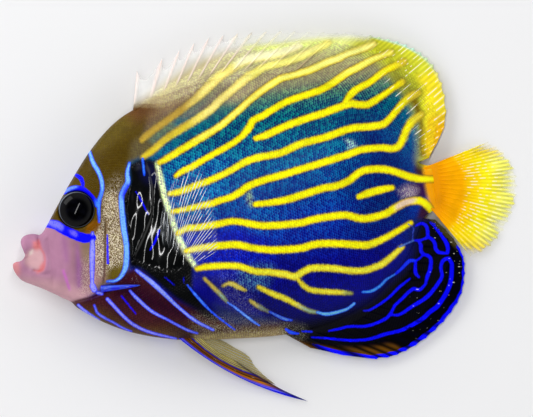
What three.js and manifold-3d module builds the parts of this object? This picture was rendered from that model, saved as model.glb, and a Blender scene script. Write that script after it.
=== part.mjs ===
// Emperor angelfish, life size, lying on its right side as it would rest on a table.
// Millimetres, +Z up, the floor at z = 0. The left flank faces up, the snout points to -X and the back to +Y.
// The fish is drawn first in its own side view, with the tip of the lower lip at x = 0, y = 0, and
// every piece is a sheet or a body round one median surface, which sinks towards the fins' edges.
import * as THREE from "three";
import { mergeVertices } from "three/addons/utils/BufferGeometryUtils.js";
import Module from "manifold-3d";

const wasm = await Module();
wasm.setup();

// Driving dimensions.
const TOTAL_LENGTH = 125; // lower lip to the clear edge of the tail fin
const REST_HEIGHT = 7.4; // the median plane of head and trunk above the floor
const EDGE_HEIGHT = 0.3; // the median surface at the end of the tail fin
const GAP = 0.3; // between neighbouring pieces
const WEB = 0.28; // half the thickness of a fin's membrane
const EYE = { x: 17.36, y: 11.14, radius: 4.6, depth: 2.7, out: 1.75 };
const DORSAL_SPINES = 14;
const DORSAL_RAYS = 18;
const ANAL_SPINES = 3;
const ANAL_RAYS = 18;
const CAUDAL_RAYS = 16;
const PECTORAL_RAYS = 15;
const PELVIC_RAYS = 5;

// A smooth curve through knots [t, value, value ...]: cubic pieces whose slopes come from the neighbours.
function through(knots) {
  const slope = (i, k) => {
    const a = knots[Math.max(i - 1, 0)];
    const b = knots[Math.min(i + 1, knots.length - 1)];
    return (b[k] - a[k]) / (b[0] - a[0]);
  };
  return (t) => {
    let i = 0;
    while (i < knots.length - 2 && t > knots[i + 1][0]) i++;
    const [a, b] = [knots[i], knots[i + 1]];
    const d = b[0] - a[0];
    const s = Math.min(Math.max((t - a[0]) / d, 0), 1);
    const values = [];
    for (let k = 1; k < a.length; k++) {
      const h = s * s * (3 - 2 * s);
      const p = s * (1 - s) * (1 - s) * d * slope(i, k);
      const q = s * s * (s - 1) * d * slope(i + 1, k);
      values.push(a[k] * (1 - h) + b[k] * h + p + q);
    }
    return values.length === 1 ? values[0] : values;
  };
}

const mix = (a, b, t) => a + (b - a) * t;
const ease = (t) => {
  const s = Math.min(Math.max(t, 0), 1);
  return s * s * (3 - 2 * s);
};

// The body's own outline in the side view, without its fins: the back from the snout to the tail's root.
const BACK = through([
  [7.4, 6.0],
  [8.6, 7.1],
  [10, 8.9],
  [13, 13.2],
  [16.5, 18],
  [22, 24.8],
  [28, 30.4],
  [33.5, 33.5],
  [44, 36.8],
  [58, 39],
  [74, 37.4],
  [82, 34.2],
  [89, 29.4],
  [95, 23.4],
  [99, 17.2],
  [101.4, 12.7],
  [103.4, 11.5],
]);

// The belly from the chin to the tail's root.
const BELLY = through([
  [7.4, -7.3],
  [11, -9.7],
  [13.2, -11.1],
  [14.4, -12.6],
  [20, -16.7],
  [27, -20.3],
  [36, -23],
  [44, -24.2],
  [63, -25.4],
  [74, -24.4],
  [82, -21.9],
  [88, -18.5],
  [94, -13],
  [98, -7.2],
  [101, -1.4],
  [103.4, 0.2],
]);

// Half the body's width where it is widest.
const HALF_WIDTH = through([
  [7.4, 3.3],
  [12, 4.8],
  [18, 6.3],
  [26, 7.7],
  [35, 8.3],
  [45, 8.4],
  [56, 7.8],
  [70, 6.3],
  [85, 4.4],
  [95, 3.1],
  [103.4, 2.1],
]);

// Half the thickness left along the back and the belly, where fins grow or the keel is blunt.
const BACK_EDGE = through([
  [7.4, 0.5],
  [30, 0.7],
  [36, 1.0],
  [103.4, 0.9],
]);
const BELLY_EDGE = through([
  [7.4, 0.6],
  [14, 0.8],
  [30, 1.6],
  [37, 2.7],
  [44, 2.6],
  [55, 1.4],
  [64, 1.0],
  [103.4, 0.9],
]);
// How the sides draw in towards the back and the belly: low is a round edge, high runs out into a fin.
const BACK_TAPER = through([
  [7.4, 0.45],
  [24, 0.45],
  [42, 1.2],
  [103.4, 1.2],
]);
const BELLY_TAPER = through([
  [7.4, 0.5],
  [46, 0.5],
  [68, 1.2],
  [103.4, 1.2],
]);
const FULLNESS = 1.75; // added to the taper, it keeps the middle of the flank full
const WIDEST = 0.42; // share of the body's height at which it is widest

// Height of the median surface: level along head and trunk, sinking to the back, the belly and the tail.
function median(x, y) {
  const tail = ease((x - 80) / 45);
  const back = 0.45 * ease((y - 26) / 24);
  const belly = 0.8 * ease((-10 - y) / 24);
  return EDGE_HEIGHT + (REST_HEIGHT - EDGE_HEIGHT) * (1 - tail) * (1 - back) * (1 - belly);
}

// The mound of bone and skin that holds the eye.
function orbit(x, y) {
  const r = Math.hypot(x - EYE.x, y - EYE.y);
  return 4.6 * (1 - ease((r - 5) / 3.2));
}

// Half the body's thickness at x and at share v of its height.
function halfBody(x, v) {
  const up = v > WIDEST;
  const s = up ? (v - WIDEST) / (1 - WIDEST) : (WIDEST - v) / WIDEST;
  const edge = up ? BACK_EDGE(x) : BELLY_EDGE(x);
  const taper = up ? BACK_TAPER(x) : BELLY_TAPER(x);
  const h = edge + (HALF_WIDTH(x) - edge) * Math.pow(1 - Math.pow(s, FULLNESS + taper), taper);
  const y = mix(BELLY(x), BACK(x), v);
  const mound = orbit(x, y);
  return mound > 0 ? Math.pow(Math.pow(h, 6) + Math.pow(mound, 6), 1 / 6) : h;
}

// The flank pressed up by the fin that lies under it.
function dent(x, y) {
  const r = Math.hypot((x - 44) / 11.5, (y - 7) / 17);
  return 1.1 * (1 - ease((r - 0.85) / 0.3));
}

// One point of the body: its place in the side view and its lower and upper faces.
function bodyPoint(x, v) {
  const y = mix(BELLY(x), BACK(x), v);
  const h = halfBody(x, v);
  const m = median(x, y);
  return [x, y, Math.max(m - h, dent(x, y)), m + h];
}

// The upper or lower face of the body over any place in the side view.
function face(x, y, side) {
  const v = (y - BELLY(x)) / (BACK(x) - BELLY(x));
  const [, , low, high] = bodyPoint(x, Math.min(Math.max(v, 0), 1));
  return side > 0 ? high : low;
}

// A closed solid between two height fields over the grid place(column, row) = [x, y, low, high].
// Both faces are split alike, so a thin curved sheet can't cross itself.
function slab(columns, rows, place) {
  const points = [];
  for (let i = 0; i <= columns; i++) for (let j = 0; j <= rows; j++) points.push(place(i, j));
  const at = (i, j) => i * (rows + 1) + j;
  const rim = [];
  for (let i = 0; i < columns; i++) rim.push(at(i, 0));
  for (let j = 0; j < rows; j++) rim.push(at(columns, j));
  for (let i = columns; i > 0; i--) rim.push(at(i, rows));
  for (let j = rows; j > 0; j--) rim.push(at(0, j));
  let area = 0;
  rim.forEach((a, k) => {
    const b = rim[(k + 1) % rim.length];
    area += points[a][0] * points[b][1] - points[b][0] * points[a][1];
  });
  const n = points.length;
  const faces = [];
  const add = (a, b, c) => faces.push(...(area > 0 ? [a, b, c] : [a, c, b]));
  for (let i = 0; i < columns; i++)
    for (let j = 0; j < rows; j++) {
      const [a, b, c, d] = [at(i, j), at(i + 1, j), at(i + 1, j + 1), at(i, j + 1)];
      const even = (i + j) % 2 === 0;
      const split = even ? [[a, b, c], [a, c, d]] : [[a, b, d], [b, c, d]];
      for (const [p, q, r] of split) {
        add(n + p, n + q, n + r);
        add(p, r, q);
      }
    }
  rim.forEach((a, k) => {
    const b = rim[(k + 1) % rim.length];
    add(a, b, n + b);
    add(a, n + b, n + a);
  });
  const xyz = [...points.map(([x, y, low]) => [x, y, low]), ...points.map(([x, y, , high]) => [x, y, high])];
  const geometry = new THREE.BufferGeometry();
  geometry.setAttribute("position", new THREE.Float32BufferAttribute(xyz.flat(), 3));
  geometry.setIndex(faces);
  return geometry;
}

// Geometry to a solid and back, for cuts and joins.
function solid(geometry) {
  const bare = geometry.clone();
  bare.deleteAttribute("normal");
  bare.deleteAttribute("uv");
  const merged = mergeVertices(bare, 1e-4);
  return new wasm.Manifold(
    new wasm.Mesh({
      numProp: 3,
      vertProperties: merged.attributes.position.array,
      triVerts: new Uint32Array(merged.index.array),
    }),
  );
}

// Draws together the points of a cut that lie closer than least, one short edge at a time. An edge
// goes only where its two ends share no other neighbours than its own two triangles' corners.
function drawTogether(points, faces, least) {
  const corners = faces.map((f) => [...f]);
  const around = points.map(() => new Set());
  corners.forEach((f, k) => f.forEach((p) => around[p].add(k)));
  const neighbours = (p) => new Set([...around[p]].flatMap((k) => corners[k]).filter((q) => q !== p));
  const apart = (a, b) => Math.hypot(...points[a].map((c, k) => c - points[b][k]));
  let moved = true;
  while (moved) {
    moved = false;
    for (let k = 0; k < corners.length; k++)
      for (let e = 0; e < 3 && corners[k]; e++) {
        const [a, b] = [corners[k][e], corners[k][(e + 1) % 3]];
        if (apart(a, b) >= least) continue;
        const near = neighbours(a);
        if ([...neighbours(b)].filter((q) => near.has(q)).length !== 2) continue;
        for (const f of [...around[b]]) {
          if (corners[f].includes(a)) {
            corners[f].forEach((p) => around[p].delete(f));
            corners[f] = null;
          } else {
            corners[f] = corners[f].map((p) => (p === b ? a : p));
            around[a].add(f);
          }
        }
        around[b].clear();
        moved = true;
      }
  }
  return corners.filter((f) => f);
}

// Turns the long edge of each triangle that is flatter than least, so that no needle stays in a cut.
function turnFlat(points, faces, least) {
  const apart = (a, b) => Math.hypot(...points[a].map((c, k) => c - points[b][k]));
  const owner = new Map();
  const keep = (k) => faces[k].forEach((a, e) => owner.set(a + "_" + faces[k][(e + 1) % 3], k));
  faces.forEach((f, k) => keep(k));
  for (let turn = 0; turn < 4 * faces.length; turn++) {
    const k = turn % faces.length;
    const sides = [0, 1, 2].map((e) => apart(faces[k][e], faces[k][(e + 1) % 3]));
    const half = (sides[0] + sides[1] + sides[2]) / 2;
    const area = Math.sqrt(Math.max(half * (half - sides[0]) * (half - sides[1]) * (half - sides[2]), 0));
    const longest = Math.max(...sides);
    if ((2 * area) / longest >= least) continue;
    const e = sides.indexOf(longest);
    const [a, b, c] = [faces[k][e], faces[k][(e + 1) % 3], faces[k][(e + 2) % 3]];
    const other = owner.get(b + "_" + a);
    const d = faces[other].find((p) => p !== a && p !== b);
    if (owner.has(c + "_" + d) || owner.has(d + "_" + c)) continue;
    owner.delete(a + "_" + b);
    owner.delete(b + "_" + a);
    faces[k] = [a, d, c];
    faces[other] = [d, b, c];
    keep(k);
    keep(other);
  }
  return faces;
}

// The largest closed surface of a solid, as geometry with no edge shorter than least.
function shell(made, least = 0.08) {
  const largest = made.decompose().reduce((a, b) => (b.volume() > a.volume() ? b : a));
  const { vertProperties, triVerts } = largest.getMesh();
  const points = [];
  for (let i = 0; i < vertProperties.length; i += 3) points.push([...vertProperties.slice(i, i + 3)]);
  const faces = [];
  for (let i = 0; i < triVerts.length; i += 3) faces.push([...triVerts.slice(i, i + 3)]);
  const geometry = new THREE.BufferGeometry();
  geometry.setAttribute("position", new THREE.Float32BufferAttribute(points.flat(), 3));
  geometry.setIndex(turnFlat(points, drawTogether(points, faces, least), least / 8).flat());
  return mergeVertices(geometry.toNonIndexed(), 1e-5);
}

// A ball of three radii, with its pole turned to the side of the fish.
function ball(radii, centre, around = 18, down = 10) {
  const geometry = new THREE.SphereGeometry(1, around, down);
  geometry.rotateX(Math.PI / 2);
  geometry.scale(...radii);
  geometry.translate(...centre);
  return geometry;
}

// The joint between head and trunk: down the nape, along the gill opening and forward under the throat.
const GILL_LINE = through([
  [0, 14],
  [0.05, 15.6],
  [0.12, 20.5],
  [0.2, 25],
  [0.29, 28.6],
  [0.38, 30.6],
  [0.45, 33],
  [0.53, 35.4],
  [0.64, 36.4],
  [0.78, 35.6],
  [1, 33.6],
]);
const TAIL_JOINT = through([
  [0, 98.6],
  [0.5, 98],
  [1, 97.4],
]);
const TAIL_ROOT = 103.3;

// Rows drawn together towards the back and the belly, where the surface turns fastest.
const row = (j, rows) => mix(j / rows, 0.5 - 0.5 * Math.cos((Math.PI * j) / rows), 0.6);

// A stretch of the body between two curves x = from(v) and x = to(v).
function stretch(from, to, columns, rows) {
  return slab(columns, rows, (i, j) => {
    const v = row(j, rows);
    return bodyPoint(mix(from(v), to(v), i / columns), v);
  });
}

// Lips and jaw: an outline given by its upper and lower edge from rear (0) to tip (1), widest at the rear.
function lobe(upper, lower, width, columns, rows, tip = 0.35) {
  return slab(columns, rows, (i, j) => {
    const t = 1 - Math.pow(1 - i / columns, 1.4);
    const v = row(j, rows);
    const [xa, ya] = lower(t);
    const [xb, yb] = upper(t);
    const x = mix(xa, xb, v);
    const y = mix(ya, yb, v);
    const round = Math.sqrt(Math.max(1 - t * t, 0)) * Math.pow(1 - Math.pow(Math.abs(2 * v - 1), 2.6), 0.4);
    const m = median(x, y);
    const h = tip + (width - tip) * round;
    return [x, y, m - h, m + h];
  });
}

const mouth = () => solid(ball([3.9, 1.9, 2.1], [4.2, 1.1, REST_HEIGHT], 14, 8));

function upperLip() {
  const upper = through([[0, 7.1, 6.1], [0.35, 5.9, 6.6], [0.7, 4.2, 6.1], [1, 2.8, 4.9]]);
  const lower = through([[0, 6.9, 2.7], [0.35, 5.6, 2.1], [0.7, 3.9, 2.4], [1, 2.7, 4.1]]);
  return shell(solid(lobe(upper, lower, 3.3, 8, 8)).subtract(mouth()));
}

function lowerJaw() {
  const upper = through([[0, 7.1, -3.0], [0.3, 5.2, -2.4], [0.6, 3.2, 0], [0.85, 1.3, 0.35], [1, 0.2, -0.3]]);
  const lower = through([[0, 7.1, -7.2], [0.3, 4.7, -5.7], [0.6, 2.4, -4.3], [0.85, 0.8, -2.5], [1, 0, -1.1]]);
  return shell(solid(lobe(upper, lower, 3.4, 9, 8)).subtract(mouth()));
}

// The thin skin that closes the sides of the open mouth, set in behind the lips.
function mouthLining() {
  const upper = through([[0, 7.3, 2.3], [0.5, 5.6, 1.7], [1, 4.2, 1.8]]);
  const lower = through([[0, 7.1, -2.6], [0.5, 5.5, -2.0], [1, 4.1, -0.6]]);
  return shell(solid(lobe(upper, lower, 2.8, 6, 6, 1.9)).subtract(mouth()));
}

// Gill cover: a plate over the rear of the head, standing proud along its free hind edge.
function gillCover(side, grow = 0) {
  const front = through([[0.27, 26.6], [0.42, 28.6], [0.6, 28.4], [0.72, 30]]);
  const [columns, rows] = [7, 10];
  return slab(columns, rows, (i, j) => {
    const t = j / rows;
    const v = mix(0.29, 0.745, t) + (grow / 45) * (2 * t - 1);
    const u = i / columns;
    const rear = GILL_LINE(v) - 0.15 + 1.5 * grow;
    const x = mix(front(v) - grow, rear, u);
    const y = mix(BELLY(x), BACK(x), v);
    const lift = 0.15 + 0.45 * u * Math.sin(Math.PI * Math.min(Math.max(t, 0.08), 0.92));
    const outer = side > 0 ? face(x, y, 1) + lift : Math.max(median(x, y) - halfBody(x, v) - lift, 0);
    const inner = outer - side * (1.25 + lift + grow);
    const cut = outer + side * (grow > 0 ? 3 : 0);
    return side > 0 ? [x, y, inner, cut] : [x, y, cut, inner];
  });
}

// The long blue spine at the lower corner of the cheek.
function cheekSpine(side, grow = 0) {
  const [start, end, y] = [20.8 - grow, 30.4 + grow, -8.75];
  const sides = 8;
  const steps = 5;
  const rings = [];
  for (let k = 0; k <= steps; k++) {
    const t = k / steps;
    const x = mix(start, end, t);
    const r = 0.9 * Math.pow(1 - t, 0.7) + 0.16 + grow;
    const z = Math.max(face(x, y, side) + side * 0.25, r - grow);
    for (let a = 0; a < sides; a++) {
      const angle = (2 * Math.PI * (a + 0.5)) / sides;
      rings.push([x, y + 0.9 * r * Math.cos(angle) - 0.25 * t, z + r * Math.sin(angle)]);
    }
  }
  const tip = Math.max(face(end, y, side) + side * 0.25, 0.16);
  rings.push([start, y, face(start, y, side)], [end + 0.3, y - 0.3, tip]);
  const faces = [];
  const [first, last] = [rings.length - 2, rings.length - 1];
  for (let a = 0; a < sides; a++) {
    const b = (a + 1) % sides;
    faces.push(first, b, a, last, steps * sides + a, steps * sides + b);
    for (let k = 0; k < steps; k++) {
      const [p, q] = [k * sides + a, k * sides + b];
      faces.push(p, q, q + sides, p, q + sides, p + sides);
    }
  }
  const geometry = new THREE.BufferGeometry();
  geometry.setAttribute("position", new THREE.Float32BufferAttribute(rings.flat(), 3));
  geometry.setIndex(faces);
  return geometry;
}

// Eyeball, set in its socket so that it stands a little proud of the head.
function eyeCentre(side) {
  const v = (EYE.y - BELLY(EYE.x)) / (BACK(EYE.x) - BELLY(EYE.x));
  const z = median(EYE.x, EYE.y) + side * (halfBody(EYE.x, v) + EYE.out - EYE.depth);
  return [EYE.x, EYE.y, z];
}
const eye = (side, grow = 0) =>
  ball([EYE.radius + grow, EYE.radius + grow, EYE.depth + grow], eyeCentre(side), 20, 10);

// Two small nostrils in front of each eye.
const NOSTRILS = [
  [11.4, 8.2, 0.35],
  [11.9, 10.1, 0.45],
];
const nostril = ([x, y, r], side) => {
  const geometry = new THREE.CylinderGeometry(r, r, 2.4, 8);
  geometry.rotateX(Math.PI / 2);
  geometry.translate(x, y, face(x, y, side));
  return geometry;
};

function head() {
  const front = through([[0, 7.45], [0.34, 7.5], [0.45, 8.0], [0.62, 8.1], [0.75, 7.7], [1, 7.45]]);
  let made = solid(stretch(front, GILL_LINE, 17, 18));
  for (const side of [1, -1]) {
    made = made.subtract(solid(eye(side, GAP)));
    made = made.subtract(solid(gillCover(side, GAP)));
    made = made.subtract(solid(cheekSpine(side, GAP)));
    for (const n of NOSTRILS) made = made.subtract(solid(nostril(n, side)));
  }
  return shell(made);
}

function torso() {
  const from = (v) => GILL_LINE(v) + GAP + 0.35 * (1 - ease(v / 0.4));
  let made = solid(stretch(from, TAIL_JOINT, 28, 18));
  for (const side of [1, -1]) {
    made = made.subtract(solid(gillCover(side, GAP)));
    made = made.subtract(solid(cheekSpine(side, GAP)));
  }
  return shell(made);
}

const tailBase = () => stretch((v) => TAIL_JOINT(v) + GAP, () => TAIL_ROOT, 3, 12);

// The columns of a fin: one crest for each ray, its flanks, and the web half way to the next.
// A spread below 1 sets the first rays wider apart than the last.
function rayColumns(rays, flank, from = 0, to = 1, spread = 1) {
  const columns = [];
  const place = (i) => mix(from, to, Math.pow(i / (rays - 1), spread));
  for (let i = 0; i < rays; i++) {
    const centre = place(i);
    if (flank && i > 0) columns.push({ u: mix(centre, place(i - 1), flank), crest: 0.25, web: 0.5 });
    columns.push({ u: centre, crest: 1, web: 0 });
    if (i === rays - 1) break;
    const next = place(i + 1);
    if (flank) columns.push({ u: mix(centre, next, flank), crest: 0.25, web: 0.5 });
    columns.push({ u: mix(centre, next, 0.5), crest: 0, web: 1 });
  }
  return columns;
}

// A fin as a sheet on the median surface. base and edge give its root and its rim at u.
function fin({ base, edge, columns, rows, ridge, notch, sheath, raise = () => 0, root = GAP }) {
  return slab(columns.length - 1, rows, (i, j) => {
    const { u, crest, web } = columns[i];
    const [xa, ya] = base(u);
    const [xe, ye] = edge(u);
    const reach = Math.hypot(xe - xa, ye - ya);
    const v = j / rows;
    const t = mix(root / reach, 1 - web * notch(u), v);
    const x = mix(xa, xe, t);
    const y = mix(ya, ye, t);
    const skin = sheath * Math.pow(Math.max(1 - (t * reach) / 4.5, 0), 1.5);
    const h = Math.max(WEB + crest * ridge(u, t), skin);
    const m = median(x, y) + raise(x, y, t);
    return [x, y, Math.max(m - h, 0), Math.max(m, h) + h];
  });
}

const DORSAL_BASE = through([
  [0, 33.8, 33.6],
  [0.2, 44.5, 36.9],
  [0.42, 58, 39],
  [0.62, 74, 37.4],
  [0.74, 84, 33],
  [0.84, 91.4, 27.2],
  [0.93, 98.2, 18.6],
  [1, 102, 12.6],
]);
const DORSAL_EDGE = through([
  [0, 35.9, 43.1],
  [0.1, 43.7, 45.7],
  [0.24, 54, 48.9],
  [0.42, 68.5, 48.8],
  [0.62, 86.5, 46.3],
  [0.7, 94.4, 44.6],
  [0.78, 102.5, 41.3],
  [0.85, 107.7, 36.5],
  [0.91, 109.9, 29.4],
  [0.955, 109.2, 21],
  [1, 104.2, 13.2],
]);
const DORSAL_SPLIT = 0.625; // where the spiny part ends and the soft part begins
const DORSAL_SPREAD = 0.78; // the front spines stand wider apart than the rear ones

function dorsalSpines() {
  return fin({
    base: DORSAL_BASE,
    edge: DORSAL_EDGE,
    columns: rayColumns(DORSAL_SPINES, 0.2, 0, DORSAL_SPLIT - 0.012, DORSAL_SPREAD),
    rows: 5,
    ridge: (u, t) => 0.5 * (1 - t) + 0.05,
    notch: (u) => mix(0.34, 0.06, ease(u / 0.5)),
    sheath: 1.0,
  });
}

function dorsalRays() {
  return fin({
    base: DORSAL_BASE,
    edge: DORSAL_EDGE,
    columns: rayColumns(DORSAL_RAYS, 0, DORSAL_SPLIT, 1),
    rows: 6,
    ridge: (u, t) => 0.3 * (1 - t) + 0.05,
    notch: () => 0.02,
    sheath: 1.0,
  });
}

const ANAL_BASE = through([
  [0, 64.4, -25.5],
  [0.2, 72.5, -24.7],
  [0.4, 81.5, -22.1],
  [0.6, 89.3, -17.5],
  [0.8, 96.2, -10],
  [1, 101.2, -1.3],
]);
const ANAL_EDGE = through([
  [0, 69.8, -29.4],
  [0.07, 77, -32],
  [0.14, 85, -34.1],
  [0.3, 93.4, -32.8],
  [0.45, 101.5, -28.2],
  [0.6, 107.7, -21.6],
  [0.75, 109.8, -14.2],
  [0.86, 109.1, -9.7],
  [0.94, 106.6, -5.3],
  [1, 103.9, -1.9],
]);

function analFin() {
  const split = 0.15;
  return fin({
    base: ANAL_BASE,
    edge: ANAL_EDGE,
    columns: [...rayColumns(ANAL_SPINES, 0.2, 0, split), ...rayColumns(ANAL_RAYS + 1, 0, split, 1).slice(1)],
    rows: 6,
    ridge: (u, t) => (u < split + 0.01 ? 0.5 : 0.3) * (1 - t) + 0.05,
    notch: (u) => (u < split ? 0.14 : 0.02),
    sheath: 1.0,
  });
}

const CAUDAL_BASE = through([
  [0, TAIL_ROOT, 11.2],
  [0.5, TAIL_ROOT, 6],
  [1, TAIL_ROOT, 0.6],
]);
const CAUDAL_EDGE = through([
  [0, 119.2, 15.4],
  [0.12, 122.4, 12.6],
  [0.3, TOTAL_LENGTH, 7.2],
  [0.45, TOTAL_LENGTH - 0.4, 2.2],
  [0.62, 122.6, -3.2],
  [0.8, 118.6, -8.4],
  [0.92, 114.8, -11],
  [1, 111.4, -12],
]);

function caudalFin() {
  return fin({
    base: CAUDAL_BASE,
    edge: CAUDAL_EDGE,
    columns: rayColumns(CAUDAL_RAYS, 0.25),
    rows: 6,
    ridge: (u, t) => 0.38 * (1 - t) + 0.04,
    notch: () => 0.03,
    sheath: 0.9,
  });
}

// Pectoral fin: a fan laid back on the flank, rooted behind the gill opening.
const PECTORAL_BASE = through([
  [0, 37, -0.4],
  [1, 43.4, -6.2],
]);
const PECTORAL_EDGE = through([
  [0, 39.6, 12.2],
  [0.15, 43, 17.4],
  [0.32, 48, 18.8],
  [0.5, 50.2, 13.6],
  [0.75, 51, 5],
  [1, 50.8, -2.6],
]);

function pectoralFin(side) {
  const columns = rayColumns(PECTORAL_RAYS, 0);
  const rows = 5;
  return slab(columns.length - 1, rows, (i, j) => {
    const { u, crest } = columns[i];
    const [xa, ya] = PECTORAL_BASE(u);
    const [xe, ye] = PECTORAL_EDGE(u);
    const t = mix(0.02, 1, j / rows);
    const x = mix(xa, xe, t);
    const y = mix(ya, ye, t);
    const thick = 0.45 + crest * (0.3 * (1 - t) + 0.05) + 0.5 * Math.pow(1 - t, 3);
    if (side < 0) return [x, y, 0, Math.min(thick, dent(x, y) - GAP)];
    const low = face(x, y, 1) + 1.15 * GAP;
    return [x, y, low, low + thick];
  });
}

// Pelvic fins: one spine and five rays each, folded back under the breast and ending in a filament.
const PELVIC = {
  left: {
    base: through([[0, 37.3, -23.4], [1, 43.2, -24.2]]),
    edge: through([
      [0, 67.6, -42.3],
      [0.2, 62, -38.9],
      [0.4, 58.6, -36.4],
      [0.7, 55, -33.6],
      [1, 51.6, -30.6],
    ]),
    bow: [-2.3, -0.6],
    height: 2.0,
  },
  right: {
    base: through([[0, 38.6, -23.6], [1, 44.2, -24.4]]),
    edge: through([
      [0, 60.2, -37.3],
      [0.25, 57.6, -34.6],
      [0.5, 55.6, -32],
      [0.75, 54.3, -29.4],
      [1, 50.4, -26.4],
    ]),
    bow: [-0.6, 0.5],
    height: -1.75,
  },
};

function pelvicFin({ base, edge, bow, height }) {
  const columns = rayColumns(PELVIC_RAYS + 1, 0.25);
  const rows = 7;
  return slab(columns.length - 1, rows, (i, j) => {
    const { u, crest } = columns[i];
    const [xa, ya] = base(u);
    const [xe, ye] = edge(u);
    const t = mix(0.012, 1, j / rows);
    const sag = mix(bow[0], bow[1], u) * 4 * t * (1 - t);
    const x = mix(xa, xe, t) + 0.45 * sag;
    const y = mix(ya, ye, t) + 0.89 * sag - (j === 0 ? GAP : 0);
    const h = 0.25 + crest * (u < 0.01 ? 0.45 : 0.25) * (1 - t);
    const rest = height > 0 ? 1.25 : 0.25;
    const m = Math.max(mix(median(xa, ya) + height, rest, ease(t / 0.8)), h);
    return [x, y, Math.max(m - h, 0), m + h];
  });
}

// Finishes: colour, roughness.
const FINISH = {
  blue_flank: [0x0d4f9a, 0.35],
  mask: [0x3a2f14, 0.4],
  pink_snout: [0xc79aa5, 0.45],
  eye: [0x070709, 0.08],
  gill_cover: [0x241f2a, 0.3],
  cheek_spine: [0x2440ff, 0.3],
  dorsal_fin: [0xb9a23c, 0.45],
  anal_fin: [0x0a0a3a, 0.4],
  tail_fin: [0xffb400, 0.45],
  clear_fin: [0xcfd6dc, 0.3],
  pelvic_fin: [0x7a4310, 0.45],
};

const fish = new THREE.Group();
function piece(name, finish, geometry) {
  const [color, roughness] = FINISH[finish];
  const mesh = new THREE.Mesh(geometry, new THREE.MeshStandardMaterial({ color, roughness, metalness: 0 }));
  mesh.name = name;
  fish.add(mesh);
}

piece("head", "mask", head());
piece("torso", "blue_flank", torso());
piece("tail_base", "blue_flank", tailBase());
piece("upper_lip", "pink_snout", upperLip());
piece("lower_jaw", "pink_snout", lowerJaw());
piece("mouth_lining", "pink_snout", mouthLining());
piece("dorsal_fin_spines", "dorsal_fin", dorsalSpines());
piece("dorsal_fin_rays", "dorsal_fin", dorsalRays());
piece("anal_fin", "anal_fin", analFin());
piece("tail_fin", "tail_fin", caudalFin());
for (const [side, name] of [[1, "left"], [-1, "right"]]) {
  piece("eye_" + name, "eye", eye(side));
  piece("gill_cover_" + name, "gill_cover", gillCover(side));
  piece("cheek_spine_" + name, "cheek_spine", cheekSpine(side));
  piece("pectoral_fin_" + name, "clear_fin", pectoralFin(side));
  piece("pelvic_fin_" + name, "pelvic_fin", pelvicFin(PELVIC[name]));
}

// The part's origin is the middle of its footprint on the floor.
const box = new THREE.Box3().setFromObject(fish);
const centre = box.getCenter(new THREE.Vector3());
fish.position.set(-centre.x, -centre.y, 0);

export default fish;
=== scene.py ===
# Emperor angelfish, life size, lying on its right side: the looks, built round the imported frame.
# Shapes are worked out in the fish's side view, in millimetres: x runs from the tip of the lower lip
# to the tail, y from belly to back, z up out of the left flank, with the floor at z = 0.
import math

import bpy
import numpy as np
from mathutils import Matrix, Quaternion, Vector


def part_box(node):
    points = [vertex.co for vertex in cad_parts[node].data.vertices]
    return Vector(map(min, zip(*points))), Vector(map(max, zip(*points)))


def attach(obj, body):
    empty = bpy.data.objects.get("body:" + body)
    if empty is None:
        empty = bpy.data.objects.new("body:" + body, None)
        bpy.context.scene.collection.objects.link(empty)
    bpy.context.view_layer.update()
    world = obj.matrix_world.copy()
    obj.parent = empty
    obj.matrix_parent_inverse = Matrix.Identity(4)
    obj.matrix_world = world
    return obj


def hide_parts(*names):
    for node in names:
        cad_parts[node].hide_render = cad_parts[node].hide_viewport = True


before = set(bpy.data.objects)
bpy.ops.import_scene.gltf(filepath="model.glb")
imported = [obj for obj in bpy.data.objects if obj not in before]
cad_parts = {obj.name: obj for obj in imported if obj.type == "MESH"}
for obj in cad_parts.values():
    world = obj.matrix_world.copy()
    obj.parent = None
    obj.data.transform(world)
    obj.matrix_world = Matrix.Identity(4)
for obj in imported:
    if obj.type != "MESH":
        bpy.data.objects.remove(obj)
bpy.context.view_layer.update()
MM = 0.001

# Driving sizes, the same as the solids'.
TOTAL_LENGTH = 125.0
REST_HEIGHT = 7.4
EDGE_HEIGHT = 0.3
TAIL_ROOT = 103.3
SKIN_END = 104.9
HEAD_PLANE = 9.5
COAT_SPLIT = 52.0
WIDEST = 0.42
FULLNESS = 1.75
COAT = 0.1
EYE_X, EYE_Y, EYE_RADIUS, EYE_DEPTH, EYE_OUT = 17.36, 11.14, 4.6, 2.7, 1.75
MOUND_HALF, MOUND_RADIUS, MOUND_SLOPE = 4.6, 5, 3.2
SOCKET_DEPTH, SOCKET_RADIUS, LID_RISE, LID_RADIUS, IRIS_RADIUS = 1.9, 4.15, 0.2, 5.05, 4.27
COVER_RISE, CHEEK_RISE = 0.42, 0.3
THORN_START, THORN_END, THORN_Y, THORN_RADIUS = 20.9, 30.3, -8.75, 0.86
UNDER_FIN_X, UNDER_FIN_Y, UNDER_FIN_LONG, UNDER_FIN_HIGH, UNDER_FIN_DENT = 44, 7, 11.5, 17, 1.1
WEB = 0.2
SHEATH, SHEATH_REACH = 0.95, 4.5
DORSAL_SPINES, DORSAL_RAYS, DORSAL_SPLIT, DORSAL_SPREAD = 14, 18, 0.613, 0.78
ANAL_SPINES, ANAL_RAYS, ANAL_SPLIT = 3, 18, 0.15
CAUDAL_RAYS, PECTORAL_RAYS, PELVIC_RAYS = 16, 16, 6
# How the middle sheet sinks to the tail, the back and the belly: (share, start, over how much).
TAIL_SINK, BACK_SINK, BELLY_SINK = (1, 80, 45), (0.45, 26, 24), (0.8, 10, 24)
# Where fins stand on the back and on the belly, and where both end.
FINNED_BACK, FINNED_BELLY, FINNED_END = 33.5, 63.5, 101
# How the right side's marks stray along x and along y: (how far, waves, start), between belly and back.
STRAY_X, STRAY_Y, STRAY_LOW, STRAY_TOP = (0.9, 0.21, 1.3), (0.7, 0.17, 0.6), 20, 34

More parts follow.
